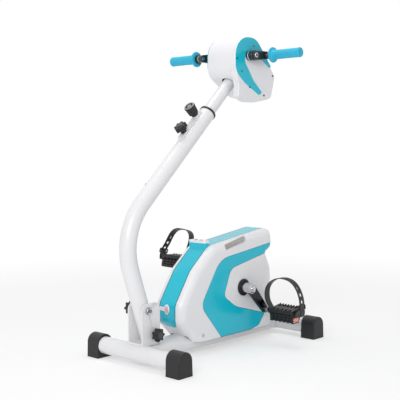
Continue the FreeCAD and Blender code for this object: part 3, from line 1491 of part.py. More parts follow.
def pedal(name, tilt, x, z):
    """A wedge-shaped pedal: ribbed deck, windows between the ribs and toothed edges."""
    body = new_body(name)
    corners = [(at.pedal_long * a, at.pedal_deep * b) for a, b, c in PEDAL_SHARES]
    feature("Pad", body, draw_polygon(sketch_on(body, "XZ_Plane"), corners), at.pedal_wide,
            "Symmetric")
    boss = draw_circle(sketch_on(body, "XZ_Plane", -at.pedal_wide / 2 - at.pedal_boss_long),
                       ZERO, ZERO, at.pedal_boss_radius)
    feature("Pad", body, boss, at.pedal_wide / 2 + at.pedal_boss_long)
    first = -at.window_pitch * (at.window_count.value - 1) / 2
    low_y, high_y = first - at.window_wide / 2, first + at.window_wide / 2
    y_axis = (body.Origin.OriginFeatures[1], [""])
    for side in (-1, 1):
        centre = at.window_reach * side
        low_x, high_x = centre - at.window_long / 2, centre + at.window_long / 2
        window = draw_polygon(sketch_on(body, "XY_Plane"), [
            (low_x, low_y), (high_x, low_y), (high_x, high_y), (low_x, high_y)])
        pocket = feature("Pocket", body, window, None, "Symmetric")
        DOC.recompute()
        patterned(body, "LinearPattern", pocket, y_axis, at.window_count,
                  at.window_pitch * (at.window_count.value - 1))
        DOC.recompute()
    deck = [(at.pedal_long * a, at.pedal_deep * b) for a, b, c in PEDAL_SHARES[:2]]
    tooth_first = at.tooth_pitch * (at.tooth_count.value - 1) / 2 + at.tooth_wide / 2
    for edge_x, edge_z, side in ((*deck[0], 1), (*deck[1], -1)):
        root = edge_x + at.tooth_wide * side
        slope = (deck[1][1] - deck[0][1]) / at.pedal_long
        root_z = edge_z + slope * at.tooth_wide * side - at.tooth_tall / 4
        tooth = draw_polygon(sketch_on(body, "XZ_Plane", tooth_first - at.tooth_wide), [
            (edge_x, edge_z - at.tooth_tall), (edge_x, edge_z + at.tooth_tall),
            (root, root_z)])
        pad = feature("Pad", body, tooth, at.tooth_wide)
        DOC.recompute()
        patterned(body, "LinearPattern", pad, y_axis, at.tooth_count,
                  at.tooth_pitch * (at.tooth_count.value - 1))
        DOC.recompute()
    bore = draw_circle(sketch_on(body, "XZ_Plane"), ZERO, ZERO,
                       at.spindle_radius + at.running_gap)
    feature("Pocket", body, bore, None, "Symmetric")
    return place(body, x, -at.pedal_centre, z, (Y_AXIS, tilt.value))


def strap(name, shares, tilt, x, z):
    """The foot strap that arches over the pedal from its inner to its outer end."""
    body = new_body(name + "_stock")
    half = at.pedal_wide.value / 2
    seat = at.strap_thick.value / 2 + at.seat_gap.value

    def spot(a, b, r):
        reach = at.strap_reach.value * a
        across_y = math.copysign(half + seat, a) if abs(a) == STRAP_ROOT else reach
        return -across_y, at.strap_arch.value * b, at.strap_arch.value * r

    path = [spot(a, b, r) for a, b, r in shares]
    outline = rounded(band(path, at.strap_thick.value))
    feature("Pad", body, draw(sketch_on(body, "YZ_Plane"), outline), at.strap_wide, "Symmetric")
    place(body, x, -at.pedal_centre, z, (Y_AXIS, tilt.value))
    boss = across(name + "_boss", at.pedal_boss_radius + at.seat_gap, -at.pedal_centre, ZERO, x,
                  z)
    return cut(name, body, boss)


def reflector(name, tilt, x, z):
    body = new_body(name)
    outer = at.pedal_centre + at.pedal_wide / 2
    front, back = -at.reflector_half - at.window_wide / 2, at.reflector_half - at.window_wide / 2
    low, high = -at.reflector_drop - at.reflector_tall, -at.reflector_drop
    face = draw_polygon(sketch_on(body, "XZ_Plane", outer + at.seat_gap), [
        (front, low), (back, low), (back, high), (front, high)])
    feature("Pad", body, face, at.reflector_thick)
    return place(body, x, ZERO, z, (Y_AXIS, tilt.value))


def legs():
    opposite = at.crank_angle + HALF_TURN
    near, far = pedal_place(at.crank_angle), pedal_place(opposite)
    leg_crank("left_crank", at.crank_angle)
    mirrored("right_crank", leg_crank("far_crank", opposite))
    near_pin = spindle("near_spindle", *near)
    far_pin = mirrored("far_spindle", spindle("far_spindle_source", *far))
    group("pedal_spindles", near_pin, far_pin)
    for kind, maker in (("pedal", pedal), ("reflector", reflector)):
        maker("left_" + kind, ZERO, *near)
        mirrored("right_" + kind, maker("far_" + kind, at.far_pedal_tilt, *far))
    strap("left_pedal_strap", STRAP_SHARES, ZERO, *near)
    far_strap = strap("far_pedal_strap", FAR_STRAP_SHARES, at.far_pedal_tilt, *far)
    mirrored("right_pedal_strap", far_strap)


NODES = [
    "front_stabiliser", "rear_stabiliser", "main_beam", "column_bracket", "front_left_cap",
    "front_right_cap", "rear_left_cap", "rear_right_cap", "left_shell", "right_shell",
    "spine_cover", "left_side_panel", "right_side_panel", "control_box", "control_lid",
    "start_button", "mode_button", "power_bezel", "power_rocker", "shell_screws", "drive_frame",
    "crank_bearings", "bearing_covers", "leg_motor", "leg_motor_pulley", "leg_belt",
    "control_board", "crank_axle", "crank_pulley", "left_crank", "right_crank",
    "pedal_spindles", "left_pedal", "right_pedal", "left_pedal_strap", "right_pedal_strap",
    "left_reflector", "right_reflector", "pivot_bolt", "pivot_knob", "lock_knob",
    "column_tube", "column_bush", "height_knob", "pull_pin", "mast_tube", "head_drum",
    "left_head_cover", "right_head_cover", "left_head_panel", "right_head_panel",
    "head_screws", "arm_motor", "arm_bearings", "arm_shaft", "left_arm_crank",
    "right_arm_crank", "handle_pins", "left_grip", "right_grip",
]


def build():
    for name, x in (("front", FRONT_X), ("rear", REAR_X)):
        stabiliser(name + "_stabiliser", x)
        end_cap(name + "_left_cap", x, -1)
        end_cap(name + "_right_cap", x, 1)
    main_beam()
    column_bracket()
    pivot_bolt()
    column_tube()
    column_bush()
    mast_tube()
    hand_knobs()
    pull_pin()
    head()
    arm_drive()
    arm_cranks()
    housing()
    shell_screws()
    drive_frame()
    crank_bearings()
    bearing_covers()
    leg_drive()
    control_board()
    legs()
    DOC.recompute()


def check():
    for thing in DOC.Objects:
        if "Invalid" in thing.State or "Error" in thing.State:
            raise RuntimeError(f"{thing.Name} is in state {thing.State}")
    by_label = {thing.Label: thing for thing in DOC.Objects}
    for name in NODES:
        shape = by_label[name].Shape
        if shape.isNull() or not shape.isValid() or not shape.Solids:
            raise RuntimeError(f"{name} has no valid solid")
    return by_label


def write(by_label):
    os.makedirs("parts", exist_ok=True)
    for name in NODES:
        by_label[name].Shape.exportStep(f"parts/{name}.step")


build()
write(check())
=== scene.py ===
import bmesh
import bpy
import json
import math
from mathutils import Matrix, Vector


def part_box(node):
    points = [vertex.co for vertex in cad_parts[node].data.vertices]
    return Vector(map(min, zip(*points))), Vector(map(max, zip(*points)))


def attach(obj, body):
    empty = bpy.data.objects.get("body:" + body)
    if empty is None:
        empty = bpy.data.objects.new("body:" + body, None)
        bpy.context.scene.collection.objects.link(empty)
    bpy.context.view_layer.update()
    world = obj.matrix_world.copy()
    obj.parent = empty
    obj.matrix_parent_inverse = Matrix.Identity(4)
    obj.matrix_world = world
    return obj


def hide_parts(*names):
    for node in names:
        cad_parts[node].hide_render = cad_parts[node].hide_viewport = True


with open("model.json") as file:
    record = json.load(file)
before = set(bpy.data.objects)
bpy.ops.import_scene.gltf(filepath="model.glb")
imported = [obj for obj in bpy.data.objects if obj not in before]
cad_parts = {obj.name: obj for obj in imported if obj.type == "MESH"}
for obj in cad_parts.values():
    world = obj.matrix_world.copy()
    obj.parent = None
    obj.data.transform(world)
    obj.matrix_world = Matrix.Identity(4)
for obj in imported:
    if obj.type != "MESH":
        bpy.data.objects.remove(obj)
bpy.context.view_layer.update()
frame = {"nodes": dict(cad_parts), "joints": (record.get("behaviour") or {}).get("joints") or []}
nodes = frame["nodes"]
joints = {joint["name"]: joint for joint in frame["joints"]}
mm = 0.001


def jointPlace(name):
    return Vector(joints[name]["pos_m"])


def add(tree, kind, **settings):
    node = tree.nodes.new("ShaderNode" + kind)
    for key, value in settings.items():
        setattr(node, key, value)
    return node


def step(tree, operation, first, second):
    # one step of arithmetic; numbers go on the sockets, outputs are linked
    node = add(tree, "Math", operation=operation)
    for socket, value in zip(node.inputs, (first, second)):
        if isinstance(value, (int, float)):
            socket.default_value = value
        else:
            tree.links.new(value, socket)
    return node.outputs[0]


# camera
cameraSetup = {
    "place": (-1.92599, -1.80280, 0.65049),
    "azimuth": -46.47,
    "elevation": 3.865,
    "roll": -0.536,
    "lens": 75.08,
    "sensor": 36.0,
}


def makeCamera(setup):
    azimuth = math.radians(setup["azimuth"])
    elevation = math.radians(setup["elevation"])
    roll = math.radians(setup["roll"])
    level = Vector((math.cos(azimuth), math.sin(azimuth), 0))
    ahead = Vector((-math.sin(azimuth) * math.cos(elevation),
                    math.cos(azimuth) * math.cos(elevation), -math.sin(elevation)))
    upward = level.cross(ahead)
    right = math.cos(roll) * level + math.sin(roll) * upward
    top = math.cos(roll) * upward - math.sin(roll) * level
    data = bpy.data.cameras.new("photoCamera")
    data.lens = setup["lens"]
    data.sensor_width = setup["sensor"]
    data.clip_start = 0.05
    data.clip_end = 60
    camera = bpy.data.objects.new("photoCamera", data)
    bpy.context.scene.collection.objects.link(camera)
    turned = Matrix((right, top, -ahead)).transposed().to_4x4()
    camera.matrix_world = Matrix.Translation(setup["place"]) @ turned
    bpy.context.scene.camera = camera
    return camera


makeCamera(cameraSetup)
print("camera set")

# light and floor
lightSetup = {
    "worldLevel": 0.50,
    "key": {"place": (-3.0, -1.7, 1.9), "size": 1.8, "power": 56},
    "top": {"place": (0.2, 0.3, 3.4), "size": 2.2, "power": 36},
    "aim": (0.0, 0.0, 0.5),
}
floorSetup = {"half": 14.0, "colour": (0.98, 0.98, 0.985, 1), "nearGlow": 0.45, "near": 0.7,
              "far": 2.4}


def makeLamp(name, setup, aim):
    data = bpy.data.lights.new(name, "AREA")
    data.shape = "DISK"
    data.size = setup["size"]
    data.energy = setup["power"]
    lamp = bpy.data.objects.new(name, data)
    bpy.context.scene.collection.objects.link(lamp)
    place = Vector(setup["place"])
    aimed = (Vector(aim) - place).to_track_quat("-Z", "Y").to_matrix().to_4x4()
    lamp.matrix_world = Matrix.Translation(place) @ aimed


for lampName in ("key", "top"):
    makeLamp(lampName + "Lamp", lightSetup[lampName], lightSetup["aim"])


def seenDirectly(tree):
    # 1 for rays from the camera, off a gloss or through a surface, 0 for lighting rays
    path = add(tree, "LightPath")
    seen = step(tree, "MAXIMUM", path.outputs["Is Camera Ray"], path.outputs["Is Glossy Ray"])
    return step(tree, "MAXIMUM", seen, path.outputs["Is Transmission Ray"])


def makeWorld(level):
    world = bpy.data.worlds.new("studioWorld")
    bpy.context.scene.world = world
    world.use_nodes = True
    tree = world.node_tree
    tree.nodes.clear()
    ambient = add(tree, "Background")
    ambient.inputs["Color"].default_value = (1, 1, 1, 1)
    ambient.inputs["Strength"].default_value = level
    white = add(tree, "Background")
    white.inputs["Color"].default_value = (1, 1, 1, 1)
    white.inputs["Strength"].default_value = 1
    mix = add(tree, "MixShader")
    out = add(tree, "OutputWorld")
    tree.links.new(seenDirectly(tree), mix.inputs["Fac"])
    tree.links.new(ambient.outputs[0], mix.inputs[1])
    tree.links.new(white.outputs[0], mix.inputs[2])
    tree.links.new(mix.outputs[0], out.inputs["Surface"])


makeWorld(lightSetup["worldLevel"])


def makeFloor(setup):
    mesh = bmesh.new()
    bmesh.ops.create_grid(mesh, x_segments=2, y_segments=2, size=setup["half"])
    data = bpy.data.meshes.new("floor")
    mesh.to_mesh(data)
    mesh.free()
    floor = bpy.data.objects.new("floor", data)
    bpy.context.scene.collection.objects.link(floor)
    paper = bpy.data.materials.new("floorPaper")
    paper.use_nodes = True
    tree = paper.node_tree
    tree.nodes.clear()
    matt = add(tree, "BsdfDiffuse")
    matt.inputs["Color"].default_value = setup["colour"]
    glow = add(tree, "Emission")
    glow.inputs["Strength"].default_value = 1
    mix = add(tree, "MixShader")
    place = add(tree, "TexCoord")
    away = add(tree, "VectorMath", operation="LENGTH")
    fade = add(tree, "MapRange", interpolation_type="SMOOTHSTEP")
    fade.inputs["From Min"].default_value = setup["near"]
    fade.inputs["From Max"].default_value = setup["far"]
    fade.inputs["To Min"].default_value = setup["nearGlow"]
    fade.inputs["To Max"].default_value = 1
    out = add(tree, "OutputMaterial")
    tree.links.new(place.outputs["Object"], away.inputs[0])
    tree.links.new(away.outputs["Value"], fade.inputs["Value"])
    share = step(tree, "MULTIPLY", seenDirectly(tree), fade.outputs["Result"])
    tree.links.new(share, mix.inputs["Fac"])
    tree.links.new(matt.outputs[0], mix.inputs[1])
    tree.links.new(glow.outputs[0], mix.inputs[2])
    tree.links.new(mix.outputs[0], out.inputs["Surface"])
    data.materials.append(paper)


makeFloor(floorSetup)
bpy.context.scene.view_settings.view_transform = "Standard"
print("light and floor set")

# shader groups
grainSetup = {"fineDetail": 2.0, "coarseDetail": 1.0, "coarseShare": 0.27, "distance": 0.0004}
toneDetail = 4.0


def newGroup(name, inputs, outputs):
    group = bpy.data.node_groups.new(name, "ShaderNodeTree")
    for label, kind, value in inputs:
        socket = group.interface.new_socket(label, in_out="INPUT", socket_type=kind)
        socket.default_value = value
    for label, kind in outputs:
        group.interface.new_socket(label, in_out="OUTPUT", socket_type=kind)
    return group, group.nodes.new("NodeGroupInput"), group.nodes.new("NodeGroupOutput")


def makeGrainGroup():
    # a moulded or sprayed skin: fine noise with a little coarser unevenness
    group, start, end = newGroup(
        "surfaceGrain",
        [("Scale", "NodeSocketFloat", 900.0), ("Strength", "NodeSocketFloat", 0.1)],
        [("Normal", "NodeSocketVector")])
    place = add(group, "TexCoord")
    fine = add(group, "TexNoise")
    fine.inputs["Detail"].default_value = grainSetup["fineDetail"]
    coarse = add(group, "TexNoise")
    coarse.inputs["Detail"].default_value = grainSetup["coarseDetail"]
    coarseScale = step(group, "MULTIPLY", start.outputs["Scale"], grainSetup["coarseShare"])
    both = step(group, "ADD", fine.outputs["Fac"], coarse.outputs["Fac"])
    bump = add(group, "Bump")
    bump.inputs["Distance"].default_value = grainSetup["distance"]
    links = group.links
    links.new(place.outputs["Object"], fine.inputs["Vector"])
    links.new(place.outputs["Object"], coarse.inputs["Vector"])
    links.new(start.outputs["Scale"], fine.inputs["Scale"])
    links.new(coarseScale, coarse.inputs["Scale"])
    links.new(both, bump.inputs["Height"])
    links.new(start.outputs["Strength"], bump.inputs["Strength"])
    links.new(bump.outputs["Normal"], end.inputs["Normal"])
    return group


def makeToneGroup():
    # slow change of colour and gloss over a surface
    group, start, end = newGroup(
        "surfaceTone",
        [("Colour", "NodeSocketColor", (0.8, 0.8, 0.8, 1)),
         ("Second Colour", "NodeSocketColor", (0.7, 0.7, 0.7, 1)),
         ("Scale", "NodeSocketFloat", 12.0),
         ("Gloss Low", "NodeSocketFloat", 0.2),
         ("Gloss High", "NodeSocketFloat", 0.3)],
        [("Colour", "NodeSocketColor"), ("Roughness", "NodeSocketFloat")])
    place = add(group, "TexCoord")
    cloud = add(group, "TexNoise")
    cloud.inputs["Detail"].default_value = toneDetail
    mix = add(group, "Mix", data_type="RGBA")
    gloss = add(group, "MapRange")
    links = group.links
    links.new(place.outputs["Object"], cloud.inputs["Vector"])
    links.new(start.outputs["Scale"], cloud.inputs["Scale"])
    links.new(cloud.outputs["Fac"], mix.inputs["Factor"])
    links.new(start.outputs["Colour"], mix.inputs[6])
    links.new(start.outputs["Second Colour"], mix.inputs[7])
    links.new(cloud.outputs["Fac"], gloss.inputs["Value"])
    links.new(start.outputs["Gloss Low"], gloss.inputs["To Min"])
    links.new(start.outputs["Gloss High"], gloss.inputs["To Max"])
    links.new(mix.outputs[2], end.inputs["Colour"])
    links.new(gloss.outputs["Result"], end.inputs["Roughness"])
    return group


grainGroup = makeGrainGroup()
toneGroup = makeToneGroup()

# finishes
reflectionRimBlend = 0.42
coatRoughness = 0.08
finishes = {
    "frameWhite": {"colour": (0.80, 0.80, 0.81), "second": (0.76, 0.76, 0.775),
                   "gloss": (0.26, 0.36), "grain": (420, 0.015), "coat": 0.25},
    "shellWhite": {"colour": (0.83, 0.83, 0.85), "second": (0.80, 0.80, 0.825),
                   "gloss": (0.26, 0.34), "grain": (500, 0.015), "coat": 0.15},
    "tealGloss": {"colour": (0.002, 0.52, 0.67), "second": (0.003, 0.49, 0.63),
                  "gloss": (0.18, 0.26), "grain": (500, 0.015), "coat": 0.15,
                  "specular": 0.4},
    # painted shade of a panel gap, for the dark tubes round the side panels
    "seamTealGapShade": {"colour": (0.0, 0.16, 0.21), "second": (0.0, 0.13, 0.18),
                 "gloss": (0.45, 0.55), "grain": (500, 0.015), "coat": 0.0, "specular": 0.3},
    "blackPlastic": {"colour": (0.014, 0.014, 0.015), "second": (0.022, 0.022, 0.023),
                     "gloss": (0.40, 0.52), "grain": (1400, 0.25), "coat": 0.0,
                     "specular": 0.35},
    "greyPlastic": {"colour": (0.45, 0.46, 0.48), "second": (0.40, 0.41, 0.43),
                    "gloss": (0.35, 0.45), "grain": (1300, 0.12), "coat": 0.0},
    "redPlastic": {"colour": (0.75, 0.14, 0.17), "second": (0.68, 0.12, 0.15),
                   "gloss": (0.18, 0.25), "grain": (900, 0.04), "coat": 0.2},
    "blueFoam": {"colour": (0.035, 0.48, 0.70), "second": (0.03, 0.45, 0.66),
                 "gloss": (0.45, 0.58), "grain": (1600, 0.30), "coat": 0.0,
                 "specular": 0.35},
    "strapRubber": {"colour": (0.016, 0.016, 0.017), "second": (0.024, 0.024, 0.026),
                    "gloss": (0.36, 0.48), "grain": (1500, 0.2), "coat": 0.0,
                    "specular": 0.4},
    # the rim colour of a chrome is painted dark reflection, laid over it where its surface slants
    # away from the camera
    "chromePlate": {"colour": (0.78, 0.78, 0.80), "second": (0.72, 0.72, 0.75),
                    "gloss": (0.10, 0.18), "grain": (300, 0.02), "coat": 0.0, "metal": 1,
                    "rim": (0.10, 0.10, 0.11)},
    "darkChrome": {"colour": (0.30, 0.30, 0.32), "second": (0.24, 0.24, 0.26),
                   "gloss": (0.16, 0.26), "grain": (400, 0.03), "coat": 0.0, "metal": 1,
                   "rim": (0.03, 0.03, 0.033)},
    "darkArm": {"colour": (0.045, 0.045, 0.048), "second": (0.03, 0.03, 0.032),
                "gloss": (0.14, 0.22), "grain": (400, 0.02), "coat": 0.0, "metal": 1},
    "zincSteel": {"colour": (0.55, 0.56, 0.58), "second": (0.48, 0.49, 0.51),
                  "gloss": (0.28, 0.40), "grain": (900, 0.08), "coat": 0.0, "metal": 1},
    "blackEnamel": {"colour": (0.018, 0.018, 0.02), "second": (0.03, 0.03, 0.033),
                    "gloss": (0.18, 0.28), "grain": (700, 0.06), "coat": 0.3},
    "motorGrey": {"colour": (0.13, 0.135, 0.145), "second": (0.10, 0.105, 0.115),
                  "gloss": (0.30, 0.42), "grain": (900, 0.12), "coat": 0.0},
    "boardGreen": {"colour": (0.015, 0.16, 0.07), "second": (0.012, 0.13, 0.06),
                   "gloss": (0.25, 0.35), "grain": (1200, 0.06), "coat": 0.2},
    "capDark": {"colour": (0.035, 0.035, 0.038), "second": (0.05, 0.05, 0.053),
                "gloss": (0.25, 0.35), "grain": (1200, 0.1), "coat": 0.0},
    "capGrey": {"colour": (0.30, 0.30, 0.31), "second": (0.24, 0.24, 0.25),
                "gloss": (0.30, 0.40), "grain": (1200, 0.15), "coat": 0.0},
    "palePink": {"colour": (0.85, 0.42, 0.47), "second": (0.80, 0.36, 0.42),
                 "gloss": (0.12, 0.2), "grain": (900, 0.03), "coat": 0.4},
    "reflectorOrange": {"colour": (0.80, 0.10, 0.025), "second": (0.70, 0.07, 0.02),
                        "gloss": (0.08, 0.14), "grain": (260, 0.5), "coat": 0.6},
}


def overlaid(tree, before, colour):
    # lays a constant colour over a link; the Factor socket says how far
    mix = add(tree, "Mix", data_type="RGBA")
    mix.inputs[7].default_value = (*colour, 1)
    tree.links.new(before, mix.inputs[6])
    return mix


def makeFinish(name, setup):
    material = bpy.data.materials.new(name)
    material.use_nodes = True
    tree = material.node_tree
    shader = tree.nodes["Principled BSDF"]
    tone = add(tree, "Group", node_tree=toneGroup)
    tone.inputs["Colour"].default_value = (*setup["colour"], 1)
    tone.inputs["Second Colour"].default_value = (*setup["second"], 1)
    tone.inputs["Gloss Low"].default_value = setup["gloss"][0]
    tone.inputs["Gloss High"].default_value = setup["gloss"][1]
    grain = add(tree, "Group", node_tree=grainGroup)
    grain.inputs["Scale"].default_value = setup["grain"][0]
    grain.inputs["Strength"].default_value = setup["grain"][1]
    colour = tone.outputs["Colour"]
    # painted reflection: the colour turns towards the rim colour where the surface slants away
    # from the camera
    if "rim" in setup:
        paintedReflectionSlant = add(tree, "LayerWeight")
        paintedReflectionSlant.inputs["Blend"].default_value = reflectionRimBlend
        turned = overlaid(tree, colour, setup["rim"])
        tree.links.new(paintedReflectionSlant.outputs["Facing"], turned.inputs["Factor"])
        colour = turned.outputs[2]
    tree.links.new(colour, shader.inputs["Base Color"])
    tree.links.new(tone.outputs["Roughness"], shader.inputs["Roughness"])
    tree.links.new(grain.outputs["Normal"], shader.inputs["Normal"])
    shader.inputs["Coat Weight"].default_value = setup["coat"]
    shader.inputs["Coat Roughness"].default_value = coatRoughness
    shader.inputs["Metallic"].default_value = setup.get("metal", 0)
    shader.inputs["Specular IOR Level"].default_value = setup.get("specular", 0.5)
    return material


made = {name: makeFinish(name, setup) for name, setup in finishes.items()}
print("finishes made:", len(made))


def makeRingMask():
    # 1 within a reach of an axis that runs along Y
    group, start, end = newGroup(
        "axisReach",
        [("Axis", "NodeSocketVector", (0, 0, 0)), ("Reach", "NodeSocketFloat", 0.01)],
        [("Mask", "NodeSocketFloat")])
    place = add(group, "TexCoord")
    shifted = add(group, "VectorMath", operation="SUBTRACT")
    flat = add(group, "VectorMath", operation="MULTIPLY")
    flat.inputs[1].default_value = (1, 0, 1)
    away = add(group, "VectorMath", operation="LENGTH")
    group.links.new(place.outputs["Object"], shifted.inputs[0])
    group.links.new(start.outputs["Axis"], shifted.inputs[1])
    group.links.new(shifted.outputs[0], flat.inputs[0])
    group.links.new(flat.outputs[0], away.inputs[0])
    near = step(group, "LESS_THAN", away.outputs["Value"], start.outputs["Reach"])
    group.links.new(near, end.inputs["Mask"])
    return group


def makeEdgeShadeMask():
    # 1 outside a half width, measured across the middle plane; marks the painted shade along the
    # front strip's edges
    group, start, end = newGroup(
        "edgeShadeBand", [("Half", "NodeSocketFloat", 0.03)], [("Mask", "NodeSocketFloat")])
    place = add(group, "TexCoord")
    apart = add(group, "SeparateXYZ")
    group.links.new(place.outputs["Object"], apart.inputs[0])
    across = step(group, "ABSOLUTE", apart.outputs["Y"], 0)
    outside = step(group, "GREATER_THAN", across, start.outputs["Half"])
    group.links.new(outside, end.inputs["Mask"])
    return group


def makePocketShadeMask():
    # painted shade: grows from 0 to 1 with depth inside the sloping hand grip of a side, where the
    # shell is darkened
    group, start, end = newGroup(
        "gripPocketShade",
        [("Middle X", "NodeSocketFloat", 0.0), ("Middle Z", "NodeSocketFloat", 0.0),
         ("Slope", "NodeSocketFloat", 0.0), ("Half Long", "NodeSocketFloat", 0.05),
         ("Half Tall", "NodeSocketFloat", 0.01), ("Face", "NodeSocketFloat", 0.06),
         ("Floor", "NodeSocketFloat", 0.044)],
        [("Mask", "NodeSocketFloat")])
    place = add(group, "TexCoord")
    apart = add(group, "SeparateXYZ")
    group.links.new(place.outputs["Object"], apart.inputs[0])
    along = step(group, "SUBTRACT", apart.outputs["X"], start.outputs["Middle X"])
    climb = step(group, "MULTIPLY", along, start.outputs["Slope"])
    up = step(group, "SUBTRACT", apart.outputs["Z"], start.outputs["Middle Z"])
    off = step(group, "ABSOLUTE", step(group, "SUBTRACT", up, climb), 0)
    inTall = step(group, "LESS_THAN", off, start.outputs["Half Tall"])
    inLong = step(group, "LESS_THAN", step(group, "ABSOLUTE", along, 0),
                  start.outputs["Half Long"])
    depth = add(group, "MapRange")
    across = step(group, "ABSOLUTE", apart.outputs["Y"], 0)
    group.links.new(across, depth.inputs["Value"])
    group.links.new(start.outputs["Face"], depth.inputs["From Min"])
    group.links.new(start.outputs["Floor"], depth.inputs["From Max"])
    whole = step(group, "MULTIPLY", step(group, "MULTIPLY", inTall, inLong),
                 depth.outputs["Result"])
    group.links.new(whole, end.inputs["Mask"])
    return group


masks = {"ring": makeRingMask(), "edge": makeEdgeShadeMask(), "pocketShade": makePocketShadeMask()}


def recoloured(name, base, colour):
    # a copy of a finish with a second colour over it; gives the socket that says where
    material = made[base].copy()
    material.name = name
    made[name] = material
    tree = material.node_tree
    socket = tree.nodes["Principled BSDF"].inputs["Base Color"]
    mix = overlaid(tree, socket.links[0].from_socket, colour)
    tree.links.new(mix.outputs[2], socket)
    return tree, mix.inputs["Factor"]


def maskedFinish(name, base, mask, values, colour):
    tree, share = recoloured(name, base, colour)
    group = add(tree, "Group", node_tree=masks[mask])
    for label, value in values.items():
        group.inputs[label].default_value = value
    tree.links.new(group.outputs["Mask"], share)


def makeStripes(name, base, setup):
    # moulded stripes of a second colour across a reflector
    tree, share = recoloured(name, base, setup["colour"])
    place = add(tree, "TexCoord")
    wave = add(tree, "TexWave", bands_direction="DIAGONAL")
    wave.inputs["Scale"].default_value = setup["scale"]
    sharp = add(tree, "MapRange")
    sharp.inputs["From Min"].default_value = setup["from"]
    sharp.inputs["From Max"].default_value = setup["to"]
    tree.links.new(place.outputs["Object"], wave.inputs["Vector"])
    tree.links.new(wave.outputs["Fac"], sharp.inputs["Value"])
    tree.links.new(sharp.outputs["Result"], share)


maskedFinish("crankBoss", "darkArm", "ring",
             {"Axis": jointPlace("leg_crank_turn"), "Reach": 0.0171}, (0.62, 0.62, 0.64))
# painted shade: a dark teal band along both edges of the front strip stands for the shaded side of
# its edge
maskedFinish("spineTealEdgeShade", "tealGloss", "edge", {"Half": 0.0316}, (0.0, 0.17, 0.23))
# painted shade: the shell is darkened towards the floor of each hand grip recess
maskedFinish("shellWithGripShade", "shellWhite", "pocketShade",
             {"Middle X": 0.0759, "Middle Z": 0.3310, "Slope": 0.1853, "Half Long": 0.054,
              "Half Tall": 0.0105, "Face": 0.0597, "Floor": 0.0455}, (0.54, 0.53, 0.51))
makeStripes("stripedReflector", "reflectorOrange",
            {"scale": 75, "from": 0.62, "to": 0.78, "colour": (0.95, 0.55, 0.52)})
print("masked finishes made")

nodeFinishes = {
    "frameWhite": ["front_stabiliser", "rear_stabiliser", "main_beam", "column_bracket",
                   "drive_frame", "column_tube", "mast_tube"],
    "blackPlastic": ["front_left_cap", "front_right_cap", "rear_left_cap", "rear_right_cap",
                     "bearing_covers", "crank_pulley", "left_pedal", "right_pedal",
                     "pivot_knob", "lock_knob", "column_bush", "height_knob", "pull_pin"],
    "shellWithGripShade": ["left_shell", "right_shell"],
    "shellWhite": ["control_lid", "power_bezel", "head_drum", "left_head_cover",
                   "right_head_cover"],
    "spineTealEdgeShade": ["spine_cover"],
    "tealGloss": ["left_side_panel", "right_side_panel", "control_box", "left_head_panel",
                  "right_head_panel"],
    "greyPlastic": ["start_button", "mode_button"],
    "redPlastic": ["power_rocker"],
    "zincSteel": ["shell_screws", "leg_motor_pulley", "crank_axle", "pedal_spindles",
                  "arm_shaft", "handle_pins", "crank_bearings", "arm_bearings"],
    "chromePlate": ["pivot_bolt"],
    "motorGrey": ["leg_motor", "arm_motor"],
    "strapRubber": ["leg_belt", "left_pedal_strap", "right_pedal_strap"],
    "boardGreen": ["control_board"],
    "crankBoss": ["left_crank", "right_crank"],
    "stripedReflector": ["left_reflector", "right_reflector"],
    "blackEnamel": ["head_screws", "left_arm_crank", "right_arm_crank"],
    "blueFoam": ["left_grip", "right_grip"],
}
for finishName, names in nodeFinishes.items():
    for nodeName in names:
        data = nodes[nodeName].data
        data.materials.clear()
        data.materials.append(made[finishName])
print("nodes finished")

# places along the mast
knobDown = 115
pinDown = 43
plugDown = 328
mastWay = Vector(joints["mast_height"]["axis"]).normalized()
riseWay = Vector(joints["pull_pin_pull"]["axis"]).normalized()
heightKnobFoot = jointPlace("height_knob_turn")
collar = heightKnobFoot + mastWay * knobDown * mm


def onMast(along, rise):
    return collar + mastWay * along * mm + riseWay * rise * mm


# shared shapes
upright = 0.99


def facing(origin, way, roll=0):
    turned = Vector(way).to_track_quat("Z", "Y").to_matrix().to_4x4()
    return Matrix.Translation(origin) @ turned @ Matrix.Rotation(math.radians(roll), 4, "Z")


def placed(mesh, matrix):
    bmesh.ops.transform(mesh, matrix=matrix, verts=mesh.verts[:])
    if matrix.determinant() < 0:
        bmesh.ops.reverse_faces(mesh, faces=mesh.faces[:])
    return mesh


def lathe(profile, steps, closed=False):
    # spins (radius, height) pairs in millimetres about Z; a closed profile makes a ring
    mesh = bmesh.new()
    spots = [mesh.verts.new((radius * mm, 0, height * mm)) for radius, height in profile]
    for first, second in zip(spots, spots[1:]):
        mesh.edges.new((first, second))
    if closed:
        mesh.edges.new((spots[-1], spots[0]))
    bmesh.ops.spin(mesh, geom=mesh.verts[:] + mesh.edges[:], cent=(0, 0, 0), axis=(0, 0, 1),
                   dvec=(0, 0, 0), angle=2 * math.pi, steps=steps, use_merge=True,
                   use_duplicate=False)
    bmesh.ops.remove_doubles(mesh, verts=mesh.verts[:], dist=1e-6)
    bmesh.ops.recalc_face_normals(mesh, faces=mesh.faces[:])
    return mesh


def bevelled(mesh, edges, offset, segments=2):
    bmesh.ops.bevel(mesh, geom=edges, offset=offset * mm, offset_type="OFFSET",
                    segments=segments, profile=0.5, affect="EDGES", material=-1,
                    clamp_overlap=True)
    return mesh


def softBlock(size, edge=0.5):
    mesh = bmesh.new()
    bmesh.ops.create_cube(mesh, size=1)
    bmesh.ops.scale(mesh, vec=[length * mm for length in size], verts=mesh.verts[:])
    return bevelled(mesh, mesh.edges[:], edge)


